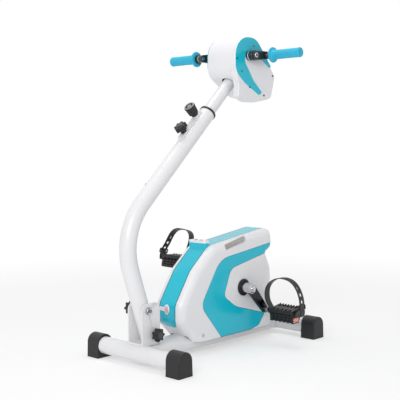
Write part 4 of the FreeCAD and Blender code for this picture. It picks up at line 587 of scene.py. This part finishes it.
def prism(radius, height, sides, edge):
    # a bevelled bar standing on Z with a regular outline
    mesh = bmesh.new()
    bmesh.ops.create_cone(mesh, cap_ends=True, segments=sides, radius1=radius * mm,
                          radius2=radius * mm, depth=height * mm)
    bmesh.ops.translate(mesh, vec=(0, 0, height * mm / 2), verts=mesh.verts[:])
    return bevelled(mesh, mesh.edges[:], edge)


def joined(parts):
    whole = bmesh.new()
    for part in parts:
        data = bpy.data.meshes.new("part")
        part.to_mesh(data)
        part.free()
        whole.from_mesh(data)
        bpy.data.meshes.remove(data)
    return whole


def finishPiece(name, mesh, body, finish, sharp=40, replaces=()):
    data = bpy.data.meshes.new(name)
    mesh.to_mesh(data)
    mesh.free()
    data.shade_smooth()
    data.set_sharp_from_angle(angle=math.radians(sharp))
    data.materials.append(made[finish])
    piece = bpy.data.objects.new(name, data)
    bpy.context.scene.collection.objects.link(piece)
    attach(piece, body)
    if replaces:
        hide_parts(*replaces)
    return piece


def smoothLine(points, count):
    # even steps along a NURBS line through a few control points
    curve = bpy.data.curves.new("guide", "CURVE")
    curve.dimensions = "3D"
    spline = curve.splines.new("NURBS")
    spline.points.add(len(points) - 1)
    for spot, place in zip(spline.points, points):
        spot.co = (*place, 1)
    spline.order_u = 3
    spline.use_endpoint_u = True
    spline.resolution_u = 16
    guide = bpy.data.objects.new("guide", curve)
    data = bpy.data.meshes.new_from_object(guide)
    line = [vert.co.copy() for vert in data.vertices]
    bpy.data.objects.remove(guide)
    bpy.data.curves.remove(curve)
    bpy.data.meshes.remove(data)
    reach = [0.0]
    for before, here in zip(line, line[1:]):
        reach.append(reach[-1] + (here - before).length)
    even = []
    for mark in range(count):
        target = reach[-1] * mark / (count - 1)
        index = next(i for i in range(len(line) - 1) if reach[i + 1] >= target - 1e-9)
        share = (target - reach[index]) / (reach[index + 1] - reach[index])
        even.append(line[index].lerp(line[index + 1], share))
    return even


# softened edges
cornerAngle = 50
softEdges = {
    "left_side_panel": 0.7, "right_side_panel": 0.7, "spine_cover": 0.7, "left_head_panel": 0.5,
    "right_head_panel": 0.5, "left_pedal": 0.8, "right_pedal": 0.8, "column_bracket": 0.9,
    "control_lid": 0.6,
}


def roundEdges(piece, width, angle=cornerAngle):
    bevel = piece.modifiers.new("bevel", "BEVEL")
    bevel.width = width * mm
    bevel.segments = 2
    bevel.limit_method = "ANGLE"
    bevel.angle_limit = math.radians(angle)


for name, width in softEdges.items():
    weld = nodes[name].modifiers.new("weld", "WELD")
    weld.merge_threshold = 1e-5
    roundEdges(nodes[name], width)
print("edges softened")

# seams round the side panels: thin dark tubes laid in the flush joints as painted shade of a panel
# gap
seamShape = {"radius": 1.1, "sink": 0.75, "face": 60.0, "corner": 0.8, "weld": 2e-5,
             "near": 0.998}


def makeGapShadeSeam(side, sign):
    mesh = bmesh.new()
    mesh.from_mesh(nodes[side + "_side_panel"].data)
    bmesh.ops.remove_doubles(mesh, verts=mesh.verts[:], dist=seamShape["weld"])
    face = seamShape["face"] * mm
    outer = {part for part in mesh.faces if part.normal.y * sign > upright
             and abs(part.calc_center_median().y) > face * seamShape["near"]}
    curve = bpy.data.curves.new(side + "PanelGapShadeSeam", "CURVE")
    curve.dimensions = "3D"
    curve.bevel_depth = seamShape["radius"] * mm
    curve.bevel_resolution = 1
    depth = sign * (face - seamShape["sink"] * mm)
    for edge in mesh.edges:
        if sum(part in outer for part in edge.link_faces) != 1 or len(edge.link_faces) != 2:
            continue
        if edge.calc_face_angle(0) < seamShape["corner"]:
            continue
        spline = curve.splines.new("POLY")
        spline.points.add(1)
        for spot, vert in zip(spline.points, edge.verts):
            spot.co = (vert.co.x, depth, vert.co.z, 1)
    mesh.free()
    curve.materials.append(made["seamTealGapShade"])
    seam = bpy.data.objects.new(side + "PanelGapShadeSeam", curve)
    bpy.context.scene.collection.objects.link(seam)
    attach(seam, "frame")


makeGapShadeSeam("left", -1)
makeGapShadeSeam("right", 1)
print("seams made")

# grips
gripShape = {
    "steps": 72,
    "profile": [
        (6.3, 100.0), (20.0, 100.0), (23.4, 100.7), (24.8, 102.2), (25.0, 103.8), (24.2, 105.3),
        (22.0, 106.2), (18.6, 106.8), (16.6, 108.0), (15.7, 110.2), (15.2, 113.2), (14.9, 117.0),
        (14.7, 121.0), (14.6, 150.0), (14.6, 178.0), (14.7, 204.0), (14.2, 205.2), (14.3, 206.4),
        (15.4, 207.4), (15.7, 209.0), (15.6, 211.4), (14.9, 213.0), (13.4, 214.2), (11.2, 214.8),
        (8.4, 214.9), (7.6, 214.0), (3.0, 213.8), (2.2, 213.2), (0.0, 213.2), (0.0, 210.0),
        (6.3, 210.0),
    ],
    "ribs": {"from": 116.0, "to": 204.5, "inside": 10.0, "count": 14, "depth": 0.55},
    "bush": [(6.1, 91.0), (12.6, 91.0), (13.4, 91.8), (13.4, 98.6), (12.6, 99.6), (6.1, 99.6)],
}


def makeGrip(side, place, way):
    mesh = lathe(gripShape["profile"], gripShape["steps"], closed=True)
    ribs = gripShape["ribs"]
    for vert in mesh.verts:
        height = vert.co.z / mm
        radius = math.hypot(vert.co.x, vert.co.y)
        if ribs["from"] < height < ribs["to"] and radius > ribs["inside"] * mm:
            turn = math.atan2(vert.co.y, vert.co.x) * ribs["count"]
            grown = 1 + ribs["depth"] * mm * math.cos(turn) / radius
            vert.co.x *= grown
            vert.co.y *= grown
    foot = Vector((place.x, 0, place.z))
    grip = finishPiece(side + "GripFoam", placed(mesh, facing(foot, way)), side + "_handle",
                       "blueFoam", 60, [side + "_grip"])
    bush = lathe(gripShape["bush"], 48, closed=True)
    finishPiece(side + "GripBush", placed(bush, facing(foot, way)), "arm_crank",
                "blackPlastic")


makeGrip("left", jointPlace("left_handle_turn"), (0, -1, 0))
makeGrip("right", jointPlace("right_handle_turn"), (0, 1, 0))
print("grips made")

# hand crank hubs
hubShape = {
    "collar": [(7.8, 88.8), (13.6, 88.8), (14.6, 89.8), (14.6, 92.6), (13.4, 93.8), (9.4, 93.8),
               (8.3, 93.0), (7.8, 91.8)],
    "ring": [(3.9, 89.2), (8.0, 89.2), (8.0, 93.6), (7.2, 94.6), (5.4, 95.0), (3.9, 94.2)],
    "bolt": {"radius": 4.2, "from": 89.2, "height": 6.4, "edge": 0.6},
    "sleeve": [(13.3, 65.4), (14.4, 65.4), (15.0, 66.0), (15.0, 67.4), (14.2, 68.2),
               (14.2, 69.6), (15.0, 70.4), (15.0, 72.4), (14.4, 73.0), (13.3, 73.0)],
}


def makeHub(side, way):
    at = facing(jointPlace("arm_crank_turn"), way)
    bolt = hubShape["bolt"]
    head = placed(prism(bolt["radius"], bolt["height"], 6, bolt["edge"]),
                  Matrix.Translation((0, 0, bolt["from"] * mm)))
    parts = [lathe(hubShape["collar"], 56, True), head]
    finishPiece(side + "HubCollar", placed(joined(parts), at), "arm_crank",
                "blackEnamel")
    parts = [lathe(hubShape["ring"], 40, True), lathe(hubShape["sleeve"], 56, True)]
    finishPiece(side + "HubRing", placed(joined(parts), at), "arm_crank",
                "chromePlate")


makeHub("left", (0, -1, 0))
makeHub("right", (0, 1, 0))
print("hand crank hubs made")

# leg crank bolts
crankBolt = {
    "ring": [(9.2, 97.8), (13.0, 97.8), (15.2, 99.6), (15.2, 100.6), (14.4, 101.2), (10.4, 101.2),
             (9.2, 100.0)],
    "square": {"radius": 8.2, "from": 97.2, "height": 6.4, "edge": 0.9, "turn": 0.35},
    "dust": [(0, 97.1), (9.6, 97.1), (9.6, 98.6), (0, 98.6)],
}


def makeCrankBolt(side, way):
    at = facing(jointPlace("leg_crank_turn"), way)
    square = crankBolt["square"]
    head = placed(prism(square["radius"], square["height"], 4, square["edge"]),
                  Matrix.Translation((0, 0, square["from"] * mm))
                  @ Matrix.Rotation(square["turn"], 4, "Z"))
    parts = [lathe(crankBolt["ring"], 48, True), head]
    finishPiece(side + "CrankBolt", placed(joined(parts), at), "leg_crank",
                "chromePlate")
    finishPiece(side + "CrankRecess", placed(lathe(crankBolt["dust"], 40), at), "leg_crank",
                "blackEnamel")


makeCrankBolt("left", (0, -1, 0))
makeCrankBolt("right", (0, 1, 0))
print("crank bolts made")

# star knobs
knobShape = {
    "segments": 126,
    "middle": 17.9,
    "lobe": 2.7,
    "lobes": 7,
    "thick": 16.0,
    "edge": 2.4,
    "cap": [(0, 0), (9.4, 0), (9.4, 1.2), (8.6, 1.8), (4.0, 2.2), (0, 2.3)],
    "hub": {"radius": 9.0, "step": 0.6, "neck": 1.4, "flare": 2.4, "overlap": 0.4},
    "stud": {"radius": 4.0, "edge": 0.6, "into": 1.0},
}


def makeKnob(name, foot, way, hubTall, studLong):
    body = name + "_knob"
    mesh = bmesh.new()
    ring = bmesh.ops.create_circle(mesh, cap_ends=True, radius=knobShape["middle"] * mm,
                                   segments=knobShape["segments"])["verts"]
    for vert in ring:
        wave = math.cos(math.atan2(vert.co.y, vert.co.x) * knobShape["lobes"])
        grown = 1 + knobShape["lobe"] * wave / knobShape["middle"]
        vert.co.x *= grown
        vert.co.y *= grown
    up = bmesh.ops.extrude_face_region(mesh, geom=mesh.faces[:])["geom"]
    top = [part for part in up if isinstance(part, bmesh.types.BMVert)]
    bmesh.ops.translate(mesh, vec=(0, 0, knobShape["thick"] * mm), verts=top)
    bmesh.ops.recalc_face_normals(mesh, faces=mesh.faces[:])
    rims = [edge for edge in mesh.edges
            if abs(edge.verts[0].co.z - edge.verts[1].co.z) < 1e-6]
    bevelled(mesh, rims, knobShape["edge"], 4)
    placed(mesh, Matrix.Translation((0, 0, hubTall * mm)))
    hub = knobShape["hub"]
    radius, sunk = hub["radius"], hubTall + hub["overlap"]
    neck = lathe([(0, 0), (radius, 0), (radius + hub["step"], hub["step"]),
                        (radius + hub["step"], hubTall - hub["neck"]),
                        (radius + hub["flare"], sunk), (0, sunk)], 48)
    capUp = hubTall + knobShape["thick"] - hub["overlap"]
    cap = placed(lathe(knobShape["cap"], 48), Matrix.Translation((0, 0, capUp * mm)))
    at = facing(foot, way)
    finishPiece(name + "Knob", placed(joined([mesh, neck]), at), body,
                "blackPlastic", 50, [body])
    finishPiece(name + "KnobCap", placed(cap, at), body, "capDark")
    if studLong:
        stud = knobShape["stud"]
        pin = lathe([(0, -studLong), (stud["radius"] - stud["edge"], -studLong),
                     (stud["radius"], -studLong + stud["edge"]), (stud["radius"], stud["into"]),
                     (0, stud["into"])], 24)
        finishPiece(name + "KnobStud", placed(pin, at), body, "zincSteel")


lockFoot = jointPlace("lock_knob_turn")
pivotFoot = jointPlace("pivot_knob_turn")
plate = {"face": 31.3 * mm, "hub": 7.0, "stud": 5.8}
rail = {"face": 30.7, "hub": 11.3, "stud": 10.4}
makeKnob("lock", (lockFoot.x, -plate["face"], lockFoot.z), (0, -1, 0), plate["hub"],
         plate["stud"])
makeKnob("pivot", (pivotFoot.x, plate["face"], pivotFoot.z), (0, 1, 0), plate["hub"], 0)
makeKnob("height", onMast(-knobDown, rail["face"]), riseWay, rail["hub"], rail["stud"])
print("knobs made")

# pull pin
pinShape = {
    "steps": 96,
    "profile": [(0, 34.3), (10.0, 34.3), (11.0, 35.2), (11.2, 40.0), (11.8, 41.0), (14.6, 41.6),
                (15.6, 42.6), (16.0, 46.0), (16.5, 54.0), (17.2, 62.0), (17.9, 68.0), (18.0, 69.4),
                (17.6, 70.6), (16.4, 71.6), (12.2, 71.8), (11.4, 71.2), (11.0, 68.6), (0, 68.4)],
    "flutes": {"from": 41.5, "to": 67.0, "inside": 11.0, "count": 12, "depth": 1.3},
    "ring": [(12.0, 71.4), (12.6, 71.2), (16.4, 71.2), (17.0, 71.8), (16.2, 72.7), (14.4, 73.1),
             (12.6, 72.8)],
    "button": [(0, 68.2), (7.6, 68.2), (8.0, 70.6), (7.2, 71.9), (3.6, 72.5), (0, 72.6)],
    "shank": [(0, 20.4), (3.2, 20.4), (4.0, 21.4), (4.0, 35.0), (0, 35.0)],
}


def makePullPin():
    at = facing(onMast(-pinDown, 0), riseWay)
    mesh = lathe(pinShape["profile"], pinShape["steps"])
    flutes = pinShape["flutes"]
    for vert in mesh.verts:
        height = vert.co.z / mm
        radius = math.hypot(vert.co.x, vert.co.y)
        if flutes["from"] < height < flutes["to"] and radius > flutes["inside"] * mm:
            turn = math.atan2(vert.co.y, vert.co.x) * flutes["count"]
            grown = 1 - flutes["depth"] * mm * (0.5 + 0.5 * math.cos(turn)) ** 2 / radius
            vert.co.x *= grown
            vert.co.y *= grown
    finishPiece("pinBarrel", placed(mesh, at), "pull_pin", "blackPlastic", 50,
                ["pull_pin"])
    parts = [lathe(pinShape["ring"], 64, True), lathe(pinShape["button"], 48)]
    finishPiece("pinRing", placed(joined(parts), at), "pull_pin", "capGrey")
    finishPiece("pinShank", placed(lathe(pinShape["shank"], 24), at), "pull_pin",
                "zincSteel")


makePullPin()
print("pull pin made")

# pedal straps: lines in (outwards, up) millimetres from the spindle
pedalTilt = {"left": 0, "right": 14}
strapShape = {
    "width": 24.0,
    "columns": 6,
    "thick": 2.6,
    "edge": 0.5,
    "steps": 76,
    "near": [(-47.4, -11), (-47.4, 3), (-58, 12), (-72, 32), (-74.5, 58), (-67, 80), (-50, 97),
             (-24, 108.5), (4, 109.5), (30, 103), (49, 86), (61, 64), (67, 42), (67, 24),
             (58, 10), (48.6, 6), (47.4, -11)],
    "far": [(-47.4, -11), (-47.4, 14), (-51, 40), (-56, 66), (-52, 88), (-36, 101), (-8, 103.5),
            (18, 102), (36, 90), (47, 68), (54, 50), (65, 32), (68, 22), (60, 10), (48.6, 5),
            (47.4, -11)],
    "ribs": {"inset": 1.4, "width": 2.4, "rise": 0.9, "from": 0.50, "to": 0.74},
    "slots": {"from": 0.70, "pitch": 5, "count": 4, "rows": 2},
    "tail": {"line": [(66.5, 26), (69.6, 16), (70.6, 4), (67.5, -6)], "inset": 1, "columns": 5,
             "steps": 14, "thick": 2.2, "angle": 30},
    "buckle": {"place": (66.0, 24.0), "lean": 8.0, "wide": 34.0, "tall": 13.0, "bar": 3.2,
               "sideDeep": 4.2, "crossDeep": 4.6, "edge": 0.8},
}


def pedalPlace(side):
    # local X as the world's, Y outwards from the spindle's middle, Z up
    spindle = jointPlace(side + "_pedal_turn")
    outward = -1 if side == "left" else 1
    tilt = math.radians(pedalTilt[side])
    return (Matrix.Translation(spindle) @ Matrix.Rotation(tilt, 4, "Y")
            @ Matrix.Diagonal((1, outward, 1, 1)))


def sheetAlong(line, start, width, columns):
    # a strip as wide as it is along X, drawn out along a line in the Y and Z plane
    mesh = bmesh.new()
    spots = [mesh.verts.new((start + width * i / columns, line[0].y, line[0].z))
             for i in range(columns + 1)]
    edges = [mesh.edges.new(pair) for pair in zip(spots, spots[1:])]
    rows = []
    for before, here in zip(line, line[1:]):
        grown = bmesh.ops.extrude_edge_only(mesh, edges=edges)["geom"]
        fresh = {part for part in grown if isinstance(part, bmesh.types.BMVert)}
        bmesh.ops.translate(mesh, vec=here - before, verts=list(fresh))
        rows.append([edge.link_faces[-1] for edge in edges])
        edges = [part for part in grown if isinstance(part, bmesh.types.BMEdge)
                 and part.verts[0] in fresh and part.verts[1] in fresh]
        edges.sort(key=lambda edge: edge.verts[0].co.x + edge.verts[1].co.x)
    return mesh, rows


def strapLine(points, count):
    return smoothLine([(0, out * mm, up * mm) for out, up in points], count)


def thicken(piece, thickness, angle):
    solid = piece.modifiers.new("thicken", "SOLIDIFY")
    solid.thickness = thickness * mm
    solid.offset = 0
    roundEdges(piece, strapShape["edge"], angle)


def makeStrap(side, points):
    at = pedalPlace(side)
    width = strapShape["width"] * mm
    line = strapLine(points, strapShape["steps"])
    band, rows = sheetAlong(line, -width / 2, width, strapShape["columns"])
    slots = strapShape["slots"]
    middle = strapShape["columns"] // 2
    gone = []
    for i in range(slots["count"]):
        first = round(slots["from"] * len(rows)) + i * slots["pitch"]
        gone += [face for row in rows[first:first + slots["rows"]]
                 for face in row[middle - 1:middle + 1]]
    bmesh.ops.delete(band, geom=gone, context="FACES")
    ribs = strapShape["ribs"]
    first, last = round(ribs["from"] * len(line)), round(ribs["to"] * len(line))
    strips = [band]
    for across in (-1, 0, 1):
        start = across * (width / 2 - ribs["inset"] * mm) - ribs["width"] * mm / 2
        start -= across * ribs["width"] * mm / 2
        outer = []
        for before, here, after in zip(line[first - 1:], line[first:last], line[first + 1:]):
            way = (after - before).normalized()
            outer.append(here + Vector((0, -way.z, way.y)) * ribs["rise"] * mm)
        strips.append(sheetAlong(outer, start, ribs["width"] * mm, 1)[0])
    piece = finishPiece(side + "Strap", placed(joined(strips), at), side + "_pedal",
                        "strapRubber", 50, [side + "_pedal_strap"])
    thicken(piece, strapShape["thick"], cornerAngle)
    buckle = strapShape["buckle"]
    out, up = buckle["place"]
    bars = []
    for across in (-1, 1):
        upright = softBlock((buckle["bar"], buckle["sideDeep"], buckle["tall"]), buckle["edge"])
        cross = softBlock((buckle["wide"], buckle["crossDeep"], buckle["bar"]), buckle["edge"])
        bars.append(placed(upright,
                           Matrix.Translation((across * buckle["wide"] * mm / 2, 0, 0))))
        bars.append(placed(cross, Matrix.Translation((0, 0, across * buckle["tall"] * mm / 2))))
    lean = Matrix.Rotation(math.radians(buckle["lean"]), 4, "X")
    where = at @ Matrix.Translation((0, out * mm, up * mm)) @ lean
    finishPiece(side + "StrapBuckle", placed(joined(bars), where), side + "_pedal",
                "blackPlastic")
    tail = strapShape["tail"]
    inset = tail["inset"] * mm
    loose = sheetAlong(strapLine(tail["line"], tail["steps"]), -width / 2 + inset,
                       width - 2 * inset, tail["columns"])[0]
    end = finishPiece(side + "StrapTail", placed(loose, at), side + "_pedal",
                      "strapRubber", 50)
    thicken(end, tail["thick"], tail["angle"])


makeStrap("left", strapShape["near"])
makeStrap("right", strapShape["far"])
print("straps made")

# pedal ribs
pedalShape = {
    "ribs": [(-19.3, -8.2), (-18.8, -16.6), (-18.2, -25.0)],
    "ribSize": (4.4, 91.4, 5.2),
    "ribEdge": 0.6,
    "lip": (-26.6, 4.0),
    "lipSize": (3.0, 92.0, 4.4),
    "lipEdge": 0.9,
}


def makePedalRibs(side):
    at = pedalPlace(side)
    bars = [placed(softBlock(pedalShape["ribSize"], pedalShape["ribEdge"]),
                   Matrix.Translation((x * mm, 0, z * mm))) for x, z in pedalShape["ribs"]]
    x, z = pedalShape["lip"]
    bars.append(placed(softBlock(pedalShape["lipSize"], pedalShape["lipEdge"]),
                       Matrix.Translation((x * mm, 0, z * mm))))
    finishPiece(side + "PedalRibs", placed(joined(bars), at), side + "_pedal",
                "blackPlastic")


makePedalRibs("left")
makePedalRibs("right")
print("pedal ribs made")

# power switch: a drop-shaped bezel with its band, and the rocker's button
switchShape = {
    "half": 11.0,
    "tall": 15.6,
    "steps": 72,
    "pinch": 0.34,
    "thick": 3.0,
    "edge": 1.1,
    "recess": {"inset": 3.0, "wall": 0.3, "deep": 1.1},
    "band": {"from": 8.0, "to": 36.0, "tall": 12.5, "thick": 3.0, "edge": 0.5},
    "button": {"half": 6.2, "tall": 8.2, "steps": 56, "pinch": 0.22, "rise": 2.6, "sink": 0.1,
               "layers": [(1.0, 0.55), (0.9, 0.28), (0.72, 0.14), (0.4, 0.03)]},
}


def dropOutline(mesh, shape):
    # a disc, squeezed towards its lower end
    ring = bmesh.ops.create_circle(mesh, cap_ends=True, radius=1,
                                   segments=shape["steps"])["verts"]
    for vert in ring:
        down = max(0, -vert.co.y)
        vert.co.x *= shape["half"] * mm * (1 - shape["pinch"] * down ** 1.5)
        vert.co.y *= shape["tall"] * mm


def raised(mesh, faces, height):
    up = bmesh.ops.extrude_face_region(mesh, geom=faces)["geom"]
    fresh = [part for part in up if isinstance(part, bmesh.types.BMVert)]
    bmesh.ops.translate(mesh, vec=(0, 0, height), verts=fresh)
    return fresh


def makeBezel():
    mesh = bmesh.new()
    dropOutline(mesh, switchShape)
    raised(mesh, mesh.faces[:], switchShape["thick"] * mm)
    bmesh.ops.recalc_face_normals(mesh, faces=mesh.faces[:])
    half = switchShape["thick"] * mm / 2
    rim = [edge for edge in mesh.edges if all(vert.co.z > half for vert in edge.verts)]
    bevelled(mesh, rim, switchShape["edge"], 3)
    top = [face for face in mesh.faces if face.normal.z > upright]
    recess = switchShape["recess"]
    for wide, deep in ((recess["inset"], 0), (recess["wall"], recess["deep"])):
        bmesh.ops.inset_region(mesh, faces=top, thickness=wide * mm, depth=-deep * mm,
                               use_even_offset=True)
    band = switchShape["band"]
    size = (band["to"] - band["from"], band["tall"], band["thick"])
    strip = placed(softBlock(size, band["edge"]),
                   Matrix.Translation((-(band["from"] + band["to"]) * mm / 2, 0, 0)))
    return joined([mesh, strip])


def makeDome():
    # each layer is raised from the flat top of the one below, then drawn in
    button = switchShape["button"]
    mesh = bmesh.new()
    dropOutline(mesh, button)
    for layer, (grow, rise) in enumerate(button["layers"]):
        flat = [face for face in mesh.faces if len(face.verts) > 4]
        fresh = raised(mesh, flat, rise * button["rise"] * mm)
        if layer:
            bmesh.ops.scale(mesh, vec=(grow, grow, 1), verts=fresh)
        flats = [face for face in mesh.faces if len(face.verts) > 4]
        if len(flats) > 1:
            flats.sort(key=lambda face: face.calc_center_median().z)
            bmesh.ops.delete(mesh, geom=flats[:-1], context="FACES_ONLY")
    up = switchShape["thick"] - switchShape["recess"]["deep"] - button["sink"]
    return placed(mesh, Matrix.Translation((0, 0, up * mm)))


switchLow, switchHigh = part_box("power_bezel")
switchAt = (Matrix.Translation((switchHigh[0], 0, (switchLow[2] + switchHigh[2]) / 2))
            @ Matrix(((0, 0, -1, 0), (-1, 0, 0, 0), (0, 1, 0, 0), (0, 0, 0, 1))))
finishPiece("switchBezel", placed(makeBezel(), switchAt), "frame", "shellWhite",
            35, ["power_bezel"])
finishPiece("switchButton", placed(makeDome(), switchAt), "rocker", "palePink",
            60, ["power_rocker"])
print("switch made")

# weld beads
beadShape = {
    "radius": 2.0,
    "ripple": 0.16,
    "beamSteps": 96,
    "bracket": {"steps": 24, "frontGap": 14, "backGap": 1},
    "pinBoss": {"up": 30.2, "radius": 9.2, "steps": 32},
}


def makeBead(name, places, body, cyclic=True):
    curve = bpy.data.curves.new(name, "CURVE")
    curve.dimensions = "3D"
    curve.bevel_depth = beadShape["radius"] * mm
    curve.bevel_resolution = 3
    curve.use_fill_caps = True
    spline = curve.splines.new("POLY")
    spline.points.add(len(places) - 1)
    for i, (spot, place) in enumerate(zip(spline.points, places)):
        spot.co = (*place, 1)
        spot.radius = 1 - beadShape["ripple"] * (i % 2)
    spline.use_cyclic_u = cyclic
    curve.materials.append(made["frameWhite"])
    bead = bpy.data.objects.new(name, curve)
    bpy.context.scene.collection.objects.link(bead)
    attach(bead, body)


def beamBead(name, centre, side):
    # follows where the beam's rounded outline meets a stabiliser's tube
    low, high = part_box("main_beam")
    half, radius = (high[1] - low[1]) / 2, (high[2] - low[2]) / 2
    middle = (low[2] + high[2]) / 2
    flat = half - radius
    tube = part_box("front_stabiliser")
    tubeRadius = (tube[1][2] - tube[0][2]) / 2
    tubeUp = (tube[1][2] + tube[0][2]) / 2
    places = []
    steps = beadShape["beamSteps"]
    for i in range(steps):
        turn = 2 * math.pi * i / steps
        y = math.copysign(flat, math.cos(turn)) + radius * math.cos(turn)
        z = middle + radius * math.sin(turn)
        reach = math.sqrt(max(tubeRadius ** 2 - (z - tubeUp) ** 2, 0))
        places.append((centre + side * reach, y, z))
    makeBead(name, places, "frame")


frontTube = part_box("front_stabiliser")
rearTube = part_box("rear_stabiliser")
beamBead("frontBead", (frontTube[0][0] + frontTube[1][0]) / 2, 1)
beamBead("rearBead", (rearTube[0][0] + rearTube[1][0]) / 2, -1)


def bracketBeads():
    low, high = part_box("column_bracket")
    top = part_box("main_beam")[1][2]
    bracket = beadShape["bracket"]
    count = bracket["steps"]
    start, end = low[0] + bracket["frontGap"] * mm, high[0] - bracket["backGap"] * mm
    for side in (-1, 1):
        y = high[1] * side
        places = [(start + (end - start) * i / count, y, top) for i in range(count + 1)]
        makeBead("bracketBead" + ("Left" if side < 0 else "Right"), places, "frame", False)


bracketBeads()


def pinBossBead():
    boss = beadShape["pinBoss"]
    at = facing(onMast(-pinDown, boss["up"]), riseWay)
    radius, count = boss["radius"] * mm, boss["steps"]
    turns = [2 * math.pi * i / count for i in range(count)]
    places = [at @ Vector((radius * math.cos(turn), radius * math.sin(turn), 0))
              for turn in turns]
    makeBead("pinBossBead", places, "column")


pinBossBead()
print("weld beads made")

# pivot nut and washer
pivotShape = {
    "nut": {"radius": 5.6, "from": 36.9, "height": 4.2, "edge": 0.5},
    "washer": [(9.2, 31.0), (12.4, 31.0), (12.9, 31.4), (12.9, 32.2), (12.4, 32.6),
               (9.2, 32.6)],
}


def makePivot():
    pivot = jointPlace("column_fold")
    at = facing((pivot.x, 0, pivot.z), (0, -1, 0))
    shape = pivotShape["nut"]
    nut = placed(prism(shape["radius"], shape["height"], 6, shape["edge"]),
                 Matrix.Translation((0, 0, shape["from"] * mm)))
    finishPiece("pivotNut", placed(nut, at), "frame", "darkChrome")
    washer = lathe(pivotShape["washer"], 48, True)
    finishPiece("pivotWasher", placed(washer, at), "frame", "zincSteel")


makePivot()

# column plug
plugShape = {
    "profile": [(0, 24.6), (3.6, 24.6), (3.9, 25.4), (3.4, 26.4), (2.0, 27.0), (0, 27.1)],
    "way": (-0.539, 0.622, 0.568),
}
plugAt = facing(onMast(-plugDown, 0), plugShape["way"])
finishPiece("columnPlug", placed(lathe(plugShape["profile"], 24), plugAt), "column",
            "capGrey")
print("small fittings made")
